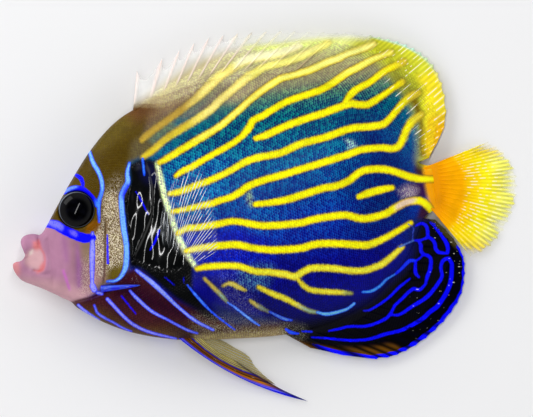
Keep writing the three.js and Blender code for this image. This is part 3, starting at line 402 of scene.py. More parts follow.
# The skin's colour under its stripes: a sweep from belly to back, then one soft region over another.
GROUND_SWEEP = through([[y, *colour(*shade)] for y, *shade in [
    (-48, 1, 1, 40), (-20, 0, 1, 92), (-14, 0, 2, 118), (-9, 1, 12, 142), (-3, 2, 44, 162), (2, 6, 54, 172),
    (7, 3, 66, 158), (12, 6, 80, 160), (18, 10, 100, 158), (25, 6, 92, 126), (29, 24, 100, 118),
    (32.5, 84, 118, 104), (35, 138, 136, 106), (38, 164, 152, 108), (42, 198, 190, 126), (54, 220, 216, 160),
]])
MARKS_GROUND = painted(GROUND_SWEEP(GRID_Y), [
    # deeper blue towards the tail
    ([(86, 26), (94, 24), (101, 12), (101, 2), (92, -8), (84, 0), (86, 14)], 6, (0, 36, 118)),
    ([(60, -5), (80, -6), (94, -4), (95, -12), (84, -20), (66, -17)], 5, (1, 3, 128)),
    ([(42, 13), (52, 18), (56, 15), (52, 9), (43, 6)], 4, (16, 104, 178)),
    ([(43, 1.6), (52, 2), (60, 0.6), (63, -6), (56, -9), (48, -9), (44, -6)], 2.5, (1, 20, 178)),
    ([(55, -8.4), (60, -7.4), (63, -9), (60, -13), (55, -11.4)], 1.8, (60, 92, 152)),
    ([(57, 5.4), (64, 5.6), (68, 1.4), (59, 1)], 2.4, (10, 84, 172)),
    # brown mauve along the back, lighter to the rear
    ([(34, 25), (37, 27), (43, 30), (50, 35), (58, 41), (66, 44), (74, 46), (60, 54), (28, 46),
      (30, 30)], 2.4, (112, 90, 66)),
    ([(42, 32), (48, 34), (54, 39.4), (57, 42.6), (52, 41.6), (47, 38)], 2, (134, 108, 88)),
    ([(46, 30.4), (52, 33.6), (59, 38.6), (63, 39.6), (58, 36.2), (53, 32.2)], 1.6, (128, 106, 94)),
    ([(54, 33.4), (62, 36.6), (70, 39.4), (76, 40.4), (82, 41.8), (76, 38.6), (68, 35.6), (60, 32.6)],
     1.8, (172, 154, 118)),
    ([(55, 38), (62, 41), (68, 42.6), (76, 44.6), (70, 41.4), (60, 37.4)], 1.8, (206, 192, 146)),
    # the dorsal fin's front: brown scales, then a beige web
    ([(35, 31.6), (38, 32.4), (42, 33.6), (46, 35), (50, 36.8), (50, 50), (28, 44), (30, 33)], 2,
     (154, 122, 84)),
    # olive brown forehead and nape
    ([(6.9, 5.8), (9, 9), (16, 19), (26, 30), (33, 38), (37, 33), (35.6, 27), (34, 22.5), (31.5, 20.8),
      (30.6, 16.5), (28.2, 13.5), (27.8, 9), (23, 6.4), (20.5, 4), (16, 5), (11, 8)], 1.2, (80, 60, 2)),
    ([(26, 30), (30, 30.5), (36, 31), (39, 33), (38, 35), (33, 35), (28, 36)], 2.4, (104, 66, 30)),
    ([(36, 36), (41, 35.4), (46, 36.4), (52, 38.6), (58, 41.2), (63, 43), (66, 45), (60, 52), (30, 48),
      (33, 36.6)], 2, (216, 202, 152)),
    ([(31, 35.6), (35, 35.8), (39, 37.4), (45, 41), (51, 43.8), (57, 45), (63, 45.6), (70, 46.6), (60, 56),
      (26, 52)], 1.8, (250, 250, 248)),
    ([(23, 24), (28, 26), (33, 30), (31, 33), (25, 29)], 2.4, (98, 80, 18)),
    ([(19.6, 7.4), (22, 8), (22.9, 6.2), (22.4, 4.5), (18.6, 5)], 0.6, (122, 74, 0)),
    ([(31.6, 21.6), (34, 21.9), (37.4, 22.4), (38.4, 24), (37, 27), (33, 26)], 1.2, (98, 84, 52)),
    ([(37.6, 24.8), (40, 26.2), (43.4, 27.8), (43, 29.6), (39, 28), (36.6, 26.4)], 1.2, (100, 116, 92)),
    # sandy cheek between the bands
    ([(20.4, 4.6), (22.9, 6.6), (24.5, 13.6), (28, 13.4), (28.4, 5), (28.3, -2), (26.6, -6.2),
      (23, -7.4), (19.4, -8.4), (19.8, -3)], 0.9, (132, 110, 74)),
    ([(23.4, -3), (28, -3), (27, -6.6), (23.2, -7.2)], 1.0, (104, 86, 20)),
    ([(20.2, 4.2), (22.6, 4.8), (22.2, -6.5), (19.6, -7)], 0.7, (146, 112, 104)),
    # mauve snout and jaws
    ([(6.4, 6.9), (9.6, 8.6), (12, 7), (16, 4.6), (20.2, 3.4), (19.8, -3), (19.2, -9), (14.2, -11.2),
      (6, -10), (-3, -2), (0, 7.4)], 0.7, (172, 122, 150)),
    ([(15, 4.4), (20.2, 3), (19.6, -8), (15.8, -9.6), (14.6, -3)], 2.4, (148, 108, 118)),
    ([(0, -3), (7, -4.4), (13, -6.5), (17, -9.4), (13.4, -12.4), (4, -9)], 1.8, (190, 146, 156)),
    ([(12.9, 5), (13.7, 5), (13.7, -1), (13.1, -1)], 1.2, (158, 104, 148)),
    ([(16.2, 3.2), (17, 3), (16, -7.6), (15.2, -7.4)], 1.0, (150, 92, 150)),
    ([(12, -3), (12.4, -3), (13.4, -8), (13, -8)], 0.5, (196, 104, 190)),
    ([(17, 3.6), (20, 2.8), (19.6, -2), (17.4, -1)], 1.6, (136, 112, 92)),
    ([(-1, 1), (1.4, 0.8), (1.6, -2.6), (0, -3)], 1.0, (196, 128, 134)),
    # maroon breast, olive near the chin, darker towards the black patch
    ([(12.6, -11.2), (20.5, -9.9), (30, -5), (37, -12.5), (44, -17), (52, -21), (62, -23.5), (62, -28),
      (40, -28), (16, -18)], 0.8, (66, 18, 28)),
    ([(14, -13), (20, -14), (27, -19), (38, -20.4), (50, -22.8), (52, -29), (30, -28)], 2.4,
     (88, 56, 10)),
    ([(27, -7), (34, -11.5), (43, -18), (40, -19), (30, -14), (24, -10)], 2.2, (44, 0, 28)),
    ([(36, -19), (44, -21), (50, -22), (52, -28), (38, -26)], 2.0, (60, 30, 20)),
    # black patch behind the head, deep blue below it
    ([(38, -12), (42.4, -11.4), (46.2, -16.4), (49, -19.6), (46, -19.4), (43, -17)], 1.2, (4, 0, 10)),
    ([(31.2, 20.6), (35, 21.6), (38.5, 19.6), (38.9, 11), (40.6, 4), (43.8, -5), (43.4, -9),
      (43, -12), (44.6, -15), (42.6, -15.4), (38, -12.4), (31, -5.2), (28.6, -4), (28.8, 8),
      (28.9, 13.2), (30.9, 16)], 0.7, (0, 1, 2)),
    ([(33.4, 20.4), (38, 20), (38.2, 15), (34.6, 16)], 1.4, (6, 8, 46)),
    ([(44.6, -7), (48, -9), (54, -13), (60, -18.6), (60, -21), (53, -19.4), (48.2, -16.6), (44.8, -12)], 1.3,
     (2, 2, 124)),
    ([(48, -16), (56, -19.4), (62, -21.6), (58, -23), (50, -20.4)], 1.6, (30, 40, 92)),
    # brown belly in front of the anal fin
    ([(54, -22), (60, -22.4), (67, -23.8), (67, -29), (52, -28)], 1.6, (84, 56, 26)),
    ([(42, -22.8), (50, -23.2), (58, -23.8), (64, -23.9), (64, -26.6), (42, -26)], 0.8, (150, 128, 84)),
    # black anal fin with a bronze front
    ([(64, -22.6), (75, -21.8), (84, -19.6), (90, -15.6), (96, -10.4), (97.6, -5), (99.5, -1.4),
      (103, -0.6), (113, -3), (113, -37), (64, -36)], 2.6, (0, 0, 8)),
    ([(65, -26.4), (72, -29.2), (78, -30.4), (85, -31), (90, -31), (92, -33.6), (84, -35.4), (76, -33.6),
      (66, -29.6)], 0.9, (84, 52, 6)),
    # purple brown shades on the peduncle
    ([(97.4, 3.8), (100, 3.4), (103.2, 4.4), (103.2, 7.4), (100, 7.6), (98, 7)], 0.9, (58, 22, 78)),
    ([(95.8, 6.2), (98, 7.2), (100.4, 6), (99, 4), (96.8, 4.2)], 1.2, (168, 138, 160)),
    ([(100.6, 9), (103.4, 8.8), (103.4, 12), (101.4, 13), (100.4, 11)], 0.9, (66, 34, 40)),
    ([(99.6, -1), (101.8, -1.4), (102.8, 1.4), (101, 2)], 0.8, (52, 12, 50)),
    # orange where the tail fin starts
    ([(103.1, -1.4), (103, 13), (110, 14), (110, -8)], 0.7, (250, 166, 0)),
    # yellow to olive along the rear of the dorsal fin, gold at the rim
    ([(62, 45.6), (70, 43.6), (80, 43.4), (88, 43), (94, 41.6), (98.6, 40), (101, 44), (92, 50),
      (66, 50)], 1.2, (240, 246, 140)),
    ([(60, 47), (74, 46.4), (84, 45.6), (92, 44), (97, 42.6), (98, 50), (60, 54)], 1.4, (252, 254, 226)),
    ([(88, 41.6), (93, 39.4), (97, 35), (100, 30), (102, 25), (102.6, 20.6), (102.2, 16),
      (101.8, 12.6), (106, 11), (113, 14), (114, 36), (100, 48), (90, 44)], 2.2, (204, 204, 44)),
    ([(98, 38), (100, 35), (102.4, 32.4), (103.6, 28.6), (101.4, 27), (99.4, 30.6), (97.4, 34)], 1.6,
     (152, 150, 46)),
    ([(96, 43.6), (99.6, 40.6), (103.4, 37), (106, 33.4), (112, 36), (98, 48)], 1.6, (224, 226, 56)),
    ([(101.6, 28), (102.8, 22), (102.2, 14), (103.8, 14), (104, 21), (103, 28)], 0.9, (130, 104, 6)),
    ([(104, 33.4), (104.8, 29), (104.4, 22), (104, 14.4), (112, 14), (114, 35)], 1.4, (255, 234, 44)),
    ([(106, 22), (104.8, 14), (110, 12), (111, 22)], 2, (250, 188, 16)),
    # pale scars
    ([(84.2, 20.2), (86, 19.6), (86.8, 18.4), (86, 17.4), (84.8, 17.6), (85, 18.8)], 0.7, (176, 206, 206)),
    ([(59, 11), (59.8, 11), (60.2, 8.4), (59.6, 6.6), (58.8, 8)], 0.8, (128, 132, 130)),
    # coral inside of the lips and pale mouth skin
    ([(3.4, 1.7), (5, 2.7), (6.9, 3.2), (7.9, 1.2), (7.7, -1.2), (6.8, -2.4), (5.2, -2.2),
      (3.2, -0.2)], 1.0, (206, 162, 168)),
    ([(5.8, 4.6), (6.9, 4.8), (7.3, 3), (6.4, 2.6), (5.6, 3.2)], 0.8, (212, 122, 124)),
    ([(6.6, -1.6), (7.6, -0.6), (7.4, -2.4), (5.8, -3)], 0.7, (212, 120, 126)),
    ([(4.6, 2.4), (5.4, 2.8), (5.2, 1.8), (4.4, 1.6)], 0.5, (226, 206, 200)),
])
CORAL_RIM = [(7.1, 4.9), (7.35, 3.05), (8.05, 1.2), (7.85, -1.2), (7, -2.5), (5.2, -2.3)]
CHEEK_GROOVE = [(23.9, 7.4), (23.7, 5.4), (23.3, 2.5), (22.9, -0.4), (22.5, -3.3), (21.7, -7.2)]
JAW_LINE = [(13.3, -11.2), (15, -10.9), (17.4, -10.6), (20.5, -9.9), (22.5, -9.2)]
# The coral lip rim and the pale patch edge are colour. The dark strokes are painted shade along the cheek
# groove and the crease under the jaw, where the relief carves the same grooves.
coral = strokes([wide(CORAL_RIM, 0.2)], 1.5)
dark = strokes([wide(CHEEK_GROOVE, 0.16), wide(JAW_LINE, 0.2)], 1.5)
pale = strokes([wide(PATCH_EDGE, 0.62)], 1.5)
for distance, soft, strength, shade in [
    (coral, 0.7, 0.65, (212, 96, 96)), (dark, 0.5, 1, (58, 4, 2)), (pale, 0.7, 1, (244, 244, 190)),
]:
    MARKS_GROUND = mix(MARKS_GROUND, colour(*shade), strength * ease(0.5 - distance / soft)[..., None])
# How blurred the stripes are: most along the fin's front and top, where they fade into the back.
BLUR = np.maximum.reduce([
    region([(48, 35.4), (53, 37.4), (58, 39), (64, 41), (72, 42), (80, 43.6), (90, 45), (90, 52),
            (48, 48)], 3),
    0.5 * region([(33, 20), (36, 21), (42, 24), (49, 27), (55, 30.6), (61, 34.4), (68, 38.2), (76, 39.6),
                  (86, 41.6), (96, 43.6), (90, 52), (28, 46)], 1.6),
    0.4 * region([(95, 44), (98, 36), (99, 26), (99.6, 14), (112, 14), (112, 44)], 2.0),
])
MARKS_YELLOW = strokes([tapered(p) for p in STRIPES]) / (1 + 1.5 * BLUR) - 0.22 * BLUR
STRIPE = painted(np.broadcast_to(colour(255, 250, 12), (*GRID_X.shape, 3)), [
    ([(30, 20), (36, 20.6), (44, 24.6), (50, 29.4), (50, 40), (30, 40)], 3, (218, 196, 60)),
    ([(33, 24), (40, 27), (48, 31), (52, 36), (48, 40), (32, 36)], 2, (178, 150, 62)),
    ([(49, 26), (56, 29), (62, 32), (66, 36), (62, 44), (50, 38)], 3, (246, 234, 134)),
    ([(62, 40), (68, 36), (80, 37), (96, 38.6), (100, 46), (62, 48)], 3, (252, 252, 140)),
    ([(60, 41), (68, 42), (80, 44), (80, 48), (58, 48)], 1.5, (252, 250, 200)),
    ([(99, 40), (100, 32), (102.5, 20), (112, 20), (112, 42)], 1.5, (232, 216, 60)),
    ([(44, -8), (60, -8.6), (80, -9), (96, -6), (90, -22), (40, -20)], 2.5, (240, 234, 60)),
    ([(40, -8), (52, -10.4), (57, -14.6), (64, -21), (50, -22)], 1.6, (208, 204, 112)),
    ([(100.6, 34), (103, 31.6), (104, 34), (102, 37)], 0.8, (190, 186, 30)),
    ([(47.6, -13.6), (51, -13), (54, -17), (50, -18)], 1.4, (140, 190, 205)),
    ([(58.4, -16.6), (61.4, -17.6), (63, -21), (58, -20.6)], 1.2, (130, 160, 190)),
    ([(68.4, -18.6), (73, -19.4), (75, -22.4), (69, -21.6)], 1.6, (150, 196, 200)),
    ([(79.6, -16), (83, -16.4), (83, -18.8), (79.4, -18.4)], 1.2, (170, 196, 130)),
    ([(94.6, 1.2), (97.4, 1.8), (99.8, 3.6), (97.6, 4.4), (94.8, 3)], 0.8, (236, 206, 176)),
])
MARKS_BLUE, MARKS_CORE = strokes([tapered(p) for p, core in LINES], 3.0, [core for p, core in LINES])
MARKS_CORE = painted(MARKS_CORE, [
    ([(8.6, 9.6), (12, 9.2), (13.6, 7.8), (13.2, 6.6), (12.4, 7), (10.6, 8)], 0.5, (120, 120, 255)),
    ([(14.8, 6.4), (16.4, 6), (16.6, 4.7), (15.4, 5.2)], 0.4, (110, 100, 250)),
    ([(14, 16.6), (17, 17.4), (18.6, 17), (17, 16.2), (14.4, 15.6)], 0.4, (110, 150, 255)),
    ([(20.1, -0.6), (20.9, -1), (20.4, -6.6), (19.6, -6.2)], 0.5, (70, 40, 240)),
    ([(30.2, 16), (31.4, 15.4), (30.4, 13.4), (28.8, 12.4), (28.8, 14)], 0.8, (40, 60, 250)),
    ([(23.8, 15.6), (24.2, 14), (22.4, 7), (21.6, 7), (22, 12)], 0.8, (70, 140, 255)),
])
# Speckle on the scales: the sandy cheek's own colour; at the dorsal fin's base it is painted glints, bright
# specks standing for sparkle. The speckle is kept off the painted groove shade.
MARKS_GLITTER = np.maximum.reduce([
    region([(20.6, 4.4), (22.9, 7), (23.8, 11), (24.6, 14.4), (27.6, 14.6), (27.6, 5), (27.4, -2),
            (26, -3.6), (24, -4), (21, -6), (20.2, -3)], 1.0),
    0.5 * region([(25, 15), (28, 18), (29.4, 16), (28, 13), (25, 13)], 2.0),
    0.35 * region([(17.4, -1), (19.6, 0), (19.4, -9), (15.6, -9.4)], 1.4),
    # painted glints at the dorsal fin's base
    0.3 * region([(43, 36.4), (47, 38.6), (53, 40.4), (56, 40.6), (51, 37), (46, 35.2)], 1.4),
    0.34 * region([(43, -18.6), (52, -20.6), (60, -22.4), (68, -24.6), (67, -26.6), (54, -24.6),
                   (43, -22.6)], 2),
    0.1 * region([(50, -8), (55, -9), (57, -14), (58, -20), (52, -18), (49, -12)], 2.4),
]) * ease(dark / 0.3)
# How clear the dorsal fin's rim is: glassy in front, a clear hem to the rear.
MARKS_CLEAR = np.maximum.reduce([
    0.66 * region([(28, 34), (34.4, 34.9), (38, 36.6), (42, 38.8), (46, 39.8), (52, 42.2), (57, 44.2),
                   (61, 45.4), (70, 46), (70, 56), (26, 54)], 2.6),
    0.96 * region([(60, 45.6), (71, 45), (79.3, 45.2), (87.7, 44.8), (93.7, 44), (95, 54), (60, 56)], 1.5),
])
# The wet gill cover: smooth skin with a strong clear coat.
MARKS_WET = region([(31.4, 19.4), (35, 20.4), (37.6, 18.6), (38, 11), (39.6, 4), (41.4, -1), (42.6, -4.4),
                    (38.6, -6), (34, -5), (31.4, -3.4), (29.8, -1.4), (29.8, 8), (30.4, 13), (31.4, 16)], 1.6)
# How strongly each scale is shaded from its root to its free edge.
MARKS_SHEEN = 0.12 + 0.88 * np.maximum.reduce([
    region([(39, 13), (38, 19), (42, 24.6), (52, 28), (62, 31.4), (76, 33.6), (92, 34), (99, 27), (102, 14),
            (104, 2), (96, -8), (84, -17), (70, -20), (60, -20), (50, -12), (42, 0)], 3),
    0.2 * region([(34, 24), (40, 32), (52, 40), (70, 46), (92, 44), (92, 34), (70, 32), (52, 27)], 3),
    0.35 * region([(64, -22), (84, -18), (98, -6), (104, -4), (108, -14), (94, -30), (66, -28)], 3),
    0.25 * region([(13, -11), (24, -9), (34, -8), (44, -16), (60, -24), (30, -28)], 2),
])
# Everything that the finishes read from the board.
MARKS = {
    "ground": MARKS_GROUND, "core": MARKS_CORE, "stripe": STRIPE, "yellow": MARKS_YELLOW, "blue": MARKS_BLUE,
    "crisp": 1 - BLUR, "glitter": MARKS_GLITTER, "sheen": MARKS_SHEEN, "wet": MARKS_WET,
}


def draw_relief():
    """Hollows and folds of head and jaws, in millimetres up from the smooth body."""
    relief = -0.55 * region([(3.3, 1.6), (5, 2.7), (7, 3.4), (8, 1.2), (7.8, -1.2), (6.8, -2.6),
                             (5.2, -2.4), (3.4, -0.6)], 1.0)
    for points, width, depth in [
        (CORAL_RIM, 0.35, -0.22),
        ([(7.45, 6.3), (7.2, 5.4), (7.2, 4.2)], 0.4, -0.5),
        ([(5.2, -2.4), (7, -3.4), (8.6, -3.6)], 0.5, -0.3),
        (CHEEK_GROOVE, 0.28, -0.32),
        (JAW_LINE, 0.35, -0.6),
        ([(13.4, -11.6), (16, -12.2), (20, -11.6), (25, -9.8)], 0.5, -0.25),
        ([(9.4, 4.6), (10.2, 1), (10.3, -3), (9.4, -6)], 0.7, -0.14),
        ([(11.8, 5), (12.5, 1), (12.4, -3)], 0.5, -0.1),
        ([(15.6, 3), (15.9, -1), (15.5, -6)], 0.5, -0.1),
    ]:
        relief += depth * bell(strokes([[[x, y, 0] for x, y in points]], 2.0), width)
    folds = sum(np.sin(GRID_X * a + GRID_Y * b + c) for a, b, c in
                ((1.5, 0.3, 0.3), (0.6, 0.9, 2.0), (-1.1, 0.7, 4.1), (1.9, -0.6, 5.2), (0.3, 1.2, 1.1)))
    return relief + 0.062 * folds * MARKS_WET


RELIEF = draw_relief()
PREOPERCLE = through([
    [-9, 20.5], [-7.6, 24.6], [-5.6, 27.6], [-2, 29.3], [4, 29.6], [10, 29.4], [14, 30.6], [19, 32],
])


def plates(x, y, v):
    """The gill cover and the cheek plate in front of it, each proud along its free hind edge and falling to
    nothing in front, above and below."""
    back = GILL_LINE(v) - x
    cover = COVER_RISE * ease(back / 0.35) * ease(1.3 - back / 9)
    cover = cover * ease((v - 0.24) / 0.08) * ease((0.8 - v) / 0.08)
    front = PREOPERCLE(y) - x
    cheek = CHEEK_RISE * ease(front / 0.3) * ease(1.4 - front / 6) * ease((y + 9) / 2) * ease((17 - y) / 4)
    return cover + cheek


def skin_half(x, v, y):
    """Half the body's thickness with the head's folds, the plates and the eye's socket and rim."""
    h = half_body(x, v) - COAT
    r = np.hypot(x - EYE_X, y - EYE_Y)
    socket = -SOCKET_DEPTH * (1 - ease((r - SOCKET_RADIUS) / 0.6)) + LID_RISE * bell(r - LID_RADIUS, 0.45)
    return np.maximum(h + look_up(RELIEF, x, y) + plates(x, y, v) + socket, 0.3)


def round_rim(distance, width):
    """A quarter circle from 0 at the rim to 1 at width from it."""
    return np.sqrt(1 - (1 - np.clip(distance / width, 0, 1)) ** 2)


def rows(n, gather):
    """n shares from 0 to 1, closer together near both ends."""
    t = np.linspace(0, 1, n)
    return mix(t, 0.5 - 0.5 * np.cos(np.pi * t), gather)


# The open mouth: the lips' crest seen from the side as [share, x, y, half width], and the profiles
# of upper lip and chin from that crest back to the head.
LIP_CREST = through([
    [0, 0.12, -0.35, 0], [0.04, 0.2, -0.1, 0.8], [0.12, 0.9, 0.25, 1.6], [0.24, 2.0, 0.35, 2.1],
    [0.38, 3.0, 0.85, 2.35], [0.5, 3.6, 1.6, 2.4], [0.62, 3.35, 2.5, 2.3], [0.8, 3.0, 3.3, 2.0],
    [0.94, 2.8, 3.9, 1.1], [1, 2.75, 4.2, 0],
])
UPPER_PROFILE = through([
    [0, 2.75, 4.2], [0.08, 2.68, 5.1], [0.18, 3.3, 6.1], [0.32, 4.7, 6.6], [0.5, 6.4, 6.5],
    [0.64, 7.4, 6.15], [0.8, 8.35, 6.75], [1, HEAD_PLANE, float(BACK(HEAD_PLANE))],
])
LOWER_PROFILE = through([
    [0, 0.12, -0.35], [0.08, 0.05, -1.2], [0.2, 0.7, -2.9], [0.36, 1.9, -4.4], [0.56, 3.9, -5.55],
    [0.8, 6.5, -6.9], [1, HEAD_PLANE, float(BELLY(HEAD_PLANE))],
])
THROAT = (8.4, 0.4)


def jaws(s, v):
    """Lips and jaws as a patch between four curves: crest and head plane mixed along s, chin and upper
    profiles mixed along v, less the mix of the four corners."""
    crest = LIP_CREST(v)
    plane = np.stack(np.broadcast_arrays(HEAD_PLANE, mix(BELLY(HEAD_PLANE), BACK(HEAD_PLANE), v)), -1)
    s1, v1 = s[..., None], v[..., None]
    sides = mix(crest[..., :2], plane, s1)
    ends = mix(LOWER_PROFILE(s), UPPER_PROFILE(s), v1)
    low = mix(LOWER_PROFILE(0), LOWER_PROFILE(1), s1)
    high = mix(UPPER_PROFILE(0), UPPER_PROFILE(1), s1)
    xy = sides + ends - mix(low, high, v1)
    lip = 0.55 * bell(s - 0.2, 0.14) * ease(np.abs(v - 0.5) * 5) * round_rim(0.5 - np.abs(v - 0.5), 0.12)
    folds = look_up(RELIEF, xy[..., 0], xy[..., 1]) * round_rim(0.5 - np.abs(v - 0.5), 0.1)
    half = mix(crest[..., 2], rim_half(HEAD_PLANE, v), ease(s)) + lip + folds * ease(s * 6)
    return xy, half


def mouth_inside(s, v):
    """The mouth's lining: the lips' crest drawn in towards the throat as s goes from 0 to 1."""
    crest = LIP_CREST(v)
    xy = mix(crest[..., :2], np.array(THROAT), (s**0.8 * 0.97)[..., None])
    return xy, crest[..., 2] * (1 - s**1.5) * mix(1.0, 0.8, np.minimum(s * 8, 1))


def rim_half(x, v):
    """Half thickness of the body with its outline rounded to nothing."""
    y = mix(BELLY(x), BACK(x), v)
    height = BACK(x) - BELLY(x)
    edge = np.where(v > WIDEST, BACK_EDGE(x), BELLY_EDGE(x))
    distance = np.minimum(v, 1 - v) * height
    finned = ease((x - np.where(v > 0.5, FINNED_BACK, FINNED_BELLY)) / 4) * (1 - ease((x - FINNED_END) / 2))
    end = np.sqrt(1 - np.clip((x - TAIL_ROOT) / (SKIN_END - TAIL_ROOT), 0, 1) ** 2)
    return skin_half(x, v, y) * round_rim(distance, mix(0.6 + edge, 0.45, finned)) * end


def trunk(x, v):
    """The body from the head plane to the tail fin."""
    y = mix(BELLY(x), BACK(x), v)
    return np.stack([x + 0 * v, y], -1), rim_half(x, v)


def faces_of(xy, half):
    """The upper and lower face of a body or fin from its side view and half thickness: the middle sheet
    plus and minus the half, the lower face never below the floor or the dent over the fin under it."""
    x, y = xy[..., 0], xy[..., 1]
    m = median(x, y)
    return np.dstack([x, y, m + half]), np.dstack([x, y, np.minimum(np.maximum(m - half, dent(x, y)), m)])


def body_face(x, v, side):
    """A point of the left (1) or right (-1) face of the trunk."""
    xy, half = trunk(x, v)
    m = median(xy[..., 0], xy[..., 1])
    z = m + half if side > 0 else np.maximum(m - half, dent(xy[..., 0], xy[..., 1]))
    return np.stack([xy[..., 0], xy[..., 1], z], -1)


def flank_height(x, y, side):
    """Height of the left or right face over a place in the side view."""
    v = np.clip((y - BELLY(x)) / (BACK(x) - BELLY(x)), 0, 1)
    return body_face(x, v, side)[..., 2]


def marks_at(x, y, left):
    """Every mark's value at places of the side view. On the right side the places swing as sines of y and x,
    so its stripes wander a little from the left's."""
    stray = np.where(left, 0, 1.0)

    def sway(far, waves, start, way):
        swing = stray * far * np.sin(waves * way + start)
        return swing * ease((y + STRAY_LOW) / 8) * ease((STRAY_TOP - y) / 8)

    x = x + sway(*STRAY_X, y)
    y = y + sway(*STRAY_Y, x)
    return {key: look_up(board, x, y) for key, board in MARKS.items()}


def new_piece(name, points, faces, material, marks):
    """A mesh from points in the side view's millimetres and arrays of vertex numbers, one array for each
    kind of face. Marks are numbers or colours at the points, which its finish reads."""
    mesh = bpy.data.meshes.new(name)
    points = np.asarray(points, float)
    points[:, 2] = np.maximum(points[:, 2], 0)
    corners = np.concatenate([f.ravel() for f in faces])
    counts = np.concatenate([np.full(len(f), f.shape[1]) for f in faces])
    mesh.vertices.add(len(points))
    mesh.vertices.foreach_set("co", to_frame(points).astype(np.float32).ravel())
    mesh.loops.add(len(corners))
    mesh.loops.foreach_set("vertex_index", corners.astype(np.int32))
    mesh.polygons.add(len(counts))
    mesh.polygons.foreach_set("loop_start", (np.cumsum(counts) - counts).astype(np.int32))
    mesh.update(calc_edges=True)
    mesh.polygons.foreach_set("use_smooth", np.ones(len(counts), bool))
    for key, values in marks.items():
        tinted = np.ndim(values) == 2
        if tinted:
            values = np.column_stack([values, np.ones(len(values))])
        attribute = mesh.attributes.new(key, "FLOAT_COLOR" if tinted else "FLOAT", "POINT")
        attribute.data.foreach_set("color" if tinted else "value", np.asarray(values, np.float32).ravel())
    mesh.validate()
    piece = bpy.data.objects.new(name, mesh)
    bpy.context.scene.collection.objects.link(piece)
    piece.data.materials.append(material)
    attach(piece, "root")
    return piece


def closed_sheet(upper, lower):
    """Points and quads of a closed pillow: two grids that share their border, the upper turned outwards.
    Also says which points belong to the upper one."""
    columns, count = upper.shape[:2]
    top = np.arange(columns * count).reshape(columns, count)
    under = top.copy()
    inner = (columns - 2) * (count - 2)
    under[1:-1, 1:-1] = top.size + np.arange(inner).reshape(columns - 2, count - 2)
    points = np.concatenate([upper.reshape(-1, 3), lower[1:-1, 1:-1].reshape(-1, 3)])

    def quads(g):
        return np.stack([g[:-1, :-1], g[1:, :-1], g[1:, 1:], g[:-1, 1:]], -1).reshape(-1, 4)

    faces = np.concatenate([quads(top), quads(under)[:, ::-1]])
    i, j = columns // 2, count // 2
    if np.cross(upper[i + 1, j] - upper[i, j], upper[i, j + 1] - upper[i, j])[2] < 0:
        faces = faces[:, ::-1]
    return points, [faces], np.arange(len(points)) < top.size


def sheet_marks(grid):
    """A value on the upper grid carried to the sheet's points: the upper's, then the lower's inner ones."""
    depth = grid.shape[2:]
    return np.concatenate([grid.reshape(-1, *depth), grid[1:-1, 1:-1].reshape(-1, *depth)])


def pinched(half):
    """Half thickness brought to nothing along a sheet's border, where its two faces meet."""
    half[0] = half[-1] = 0
    half[:, 0] = half[:, -1] = 0
    return half


def pillow(xy, middle, half):
    """The upper and lower face at half above and below a middle height."""
    return np.dstack([xy, middle + half]), np.dstack([xy, middle - half])


# Shader nodes.
def feed(tree, node, **feeds):
    """Feeds a node's sockets, named or numbered (i0, i1), from other sockets or with values."""
    for key, value in feeds.items():
        spot = int(key[1:]) if key[0] == "i" and key[1:].isdigit() else key.replace("_", " ")
        if isinstance(value, bpy.types.NodeSocket):
            tree.links.new(value, node.inputs[spot])
        else:
            node.inputs[spot].default_value = value


def add(tree, kind, sets=None, **feeds):
    """A node with its settings and what feeds it."""
    node = tree.nodes.new(f"ShaderNode{kind}")
    for key, value in (sets or {}).items():
        setattr(node, key, value)
    feed(tree, node, **feeds)
    return node


def maths(tree, operation, a, b=0.0, c=0.0):
    return add(tree, "Math", {"operation": operation}, i0=a, i1=b, i2=c).outputs[0]


def times(tree, a, b):
    return maths(tree, "MULTIPLY", a, b)


def times_plus(tree, a, b, c):
    """a times b, plus c."""
    return maths(tree, "MULTIPLY_ADD", a, b, c)


def remap(tree, value, low=0.0, high=1.0, first=0.0, last=1.0, curve="LINEAR"):
    """The value carried from the range low to high over to the range first to last."""
    return add(tree, "MapRange", {"interpolation_type": curve}, Value=value, From_Min=low, From_Max=high,
               To_Min=first, To_Max=last).outputs["Result"]


def step_mask(tree, value, low, high):
    """1 where value is at or below low, 0 at or above high, smooth between."""
    return remap(tree, value, low, high, 1.0, 0.0, "SMOOTHSTEP")


def blend(tree, share, a, b, kind="MIX"):
    """Colour a with a share of colour b over it; each is a socket or linear red, green and blue."""
    a, b = (c if isinstance(c, bpy.types.NodeSocket) else (*c, 1) for c in (a, b))
    return add(tree, "Mix", {"data_type": "RGBA", "blend_type": kind}, i0=share, i6=a, i7=b).outputs[2]


def toned(tree, base, value):
    """A colour made darker or lighter."""
    return add(tree, "HueSaturation", Color=base, Value=value).outputs[0]


def noise(tree, place, scale, detail):
    return add(tree, "TexNoise", Vector=place, Scale=scale, Detail=detail).outputs["Fac"]


def read(tree, name, output="Fac"):
    """A piece's attribute."""
    return add(tree, "Attribute", {"attribute_name": name}).outputs[output]


# Node groups: each effect that several finishes share.
def group(name, inputs, outputs):
    """A new node group with named sockets; gives its tree, its inputs as sockets and its output node."""
    tree = bpy.data.node_groups.new(name, "ShaderNodeTree")
    for label, kind, value in inputs:
        socket = tree.interface.new_socket(label, in_out="INPUT", socket_type=f"NodeSocket{kind}")
        if value is not None:
            socket.default_value = value
    for label, kind in outputs:
        tree.interface.new_socket(label, in_out="OUTPUT", socket_type=f"NodeSocket{kind}")
    return tree, tree.nodes.new("NodeGroupInput").outputs, tree.nodes.new("NodeGroupOutput")


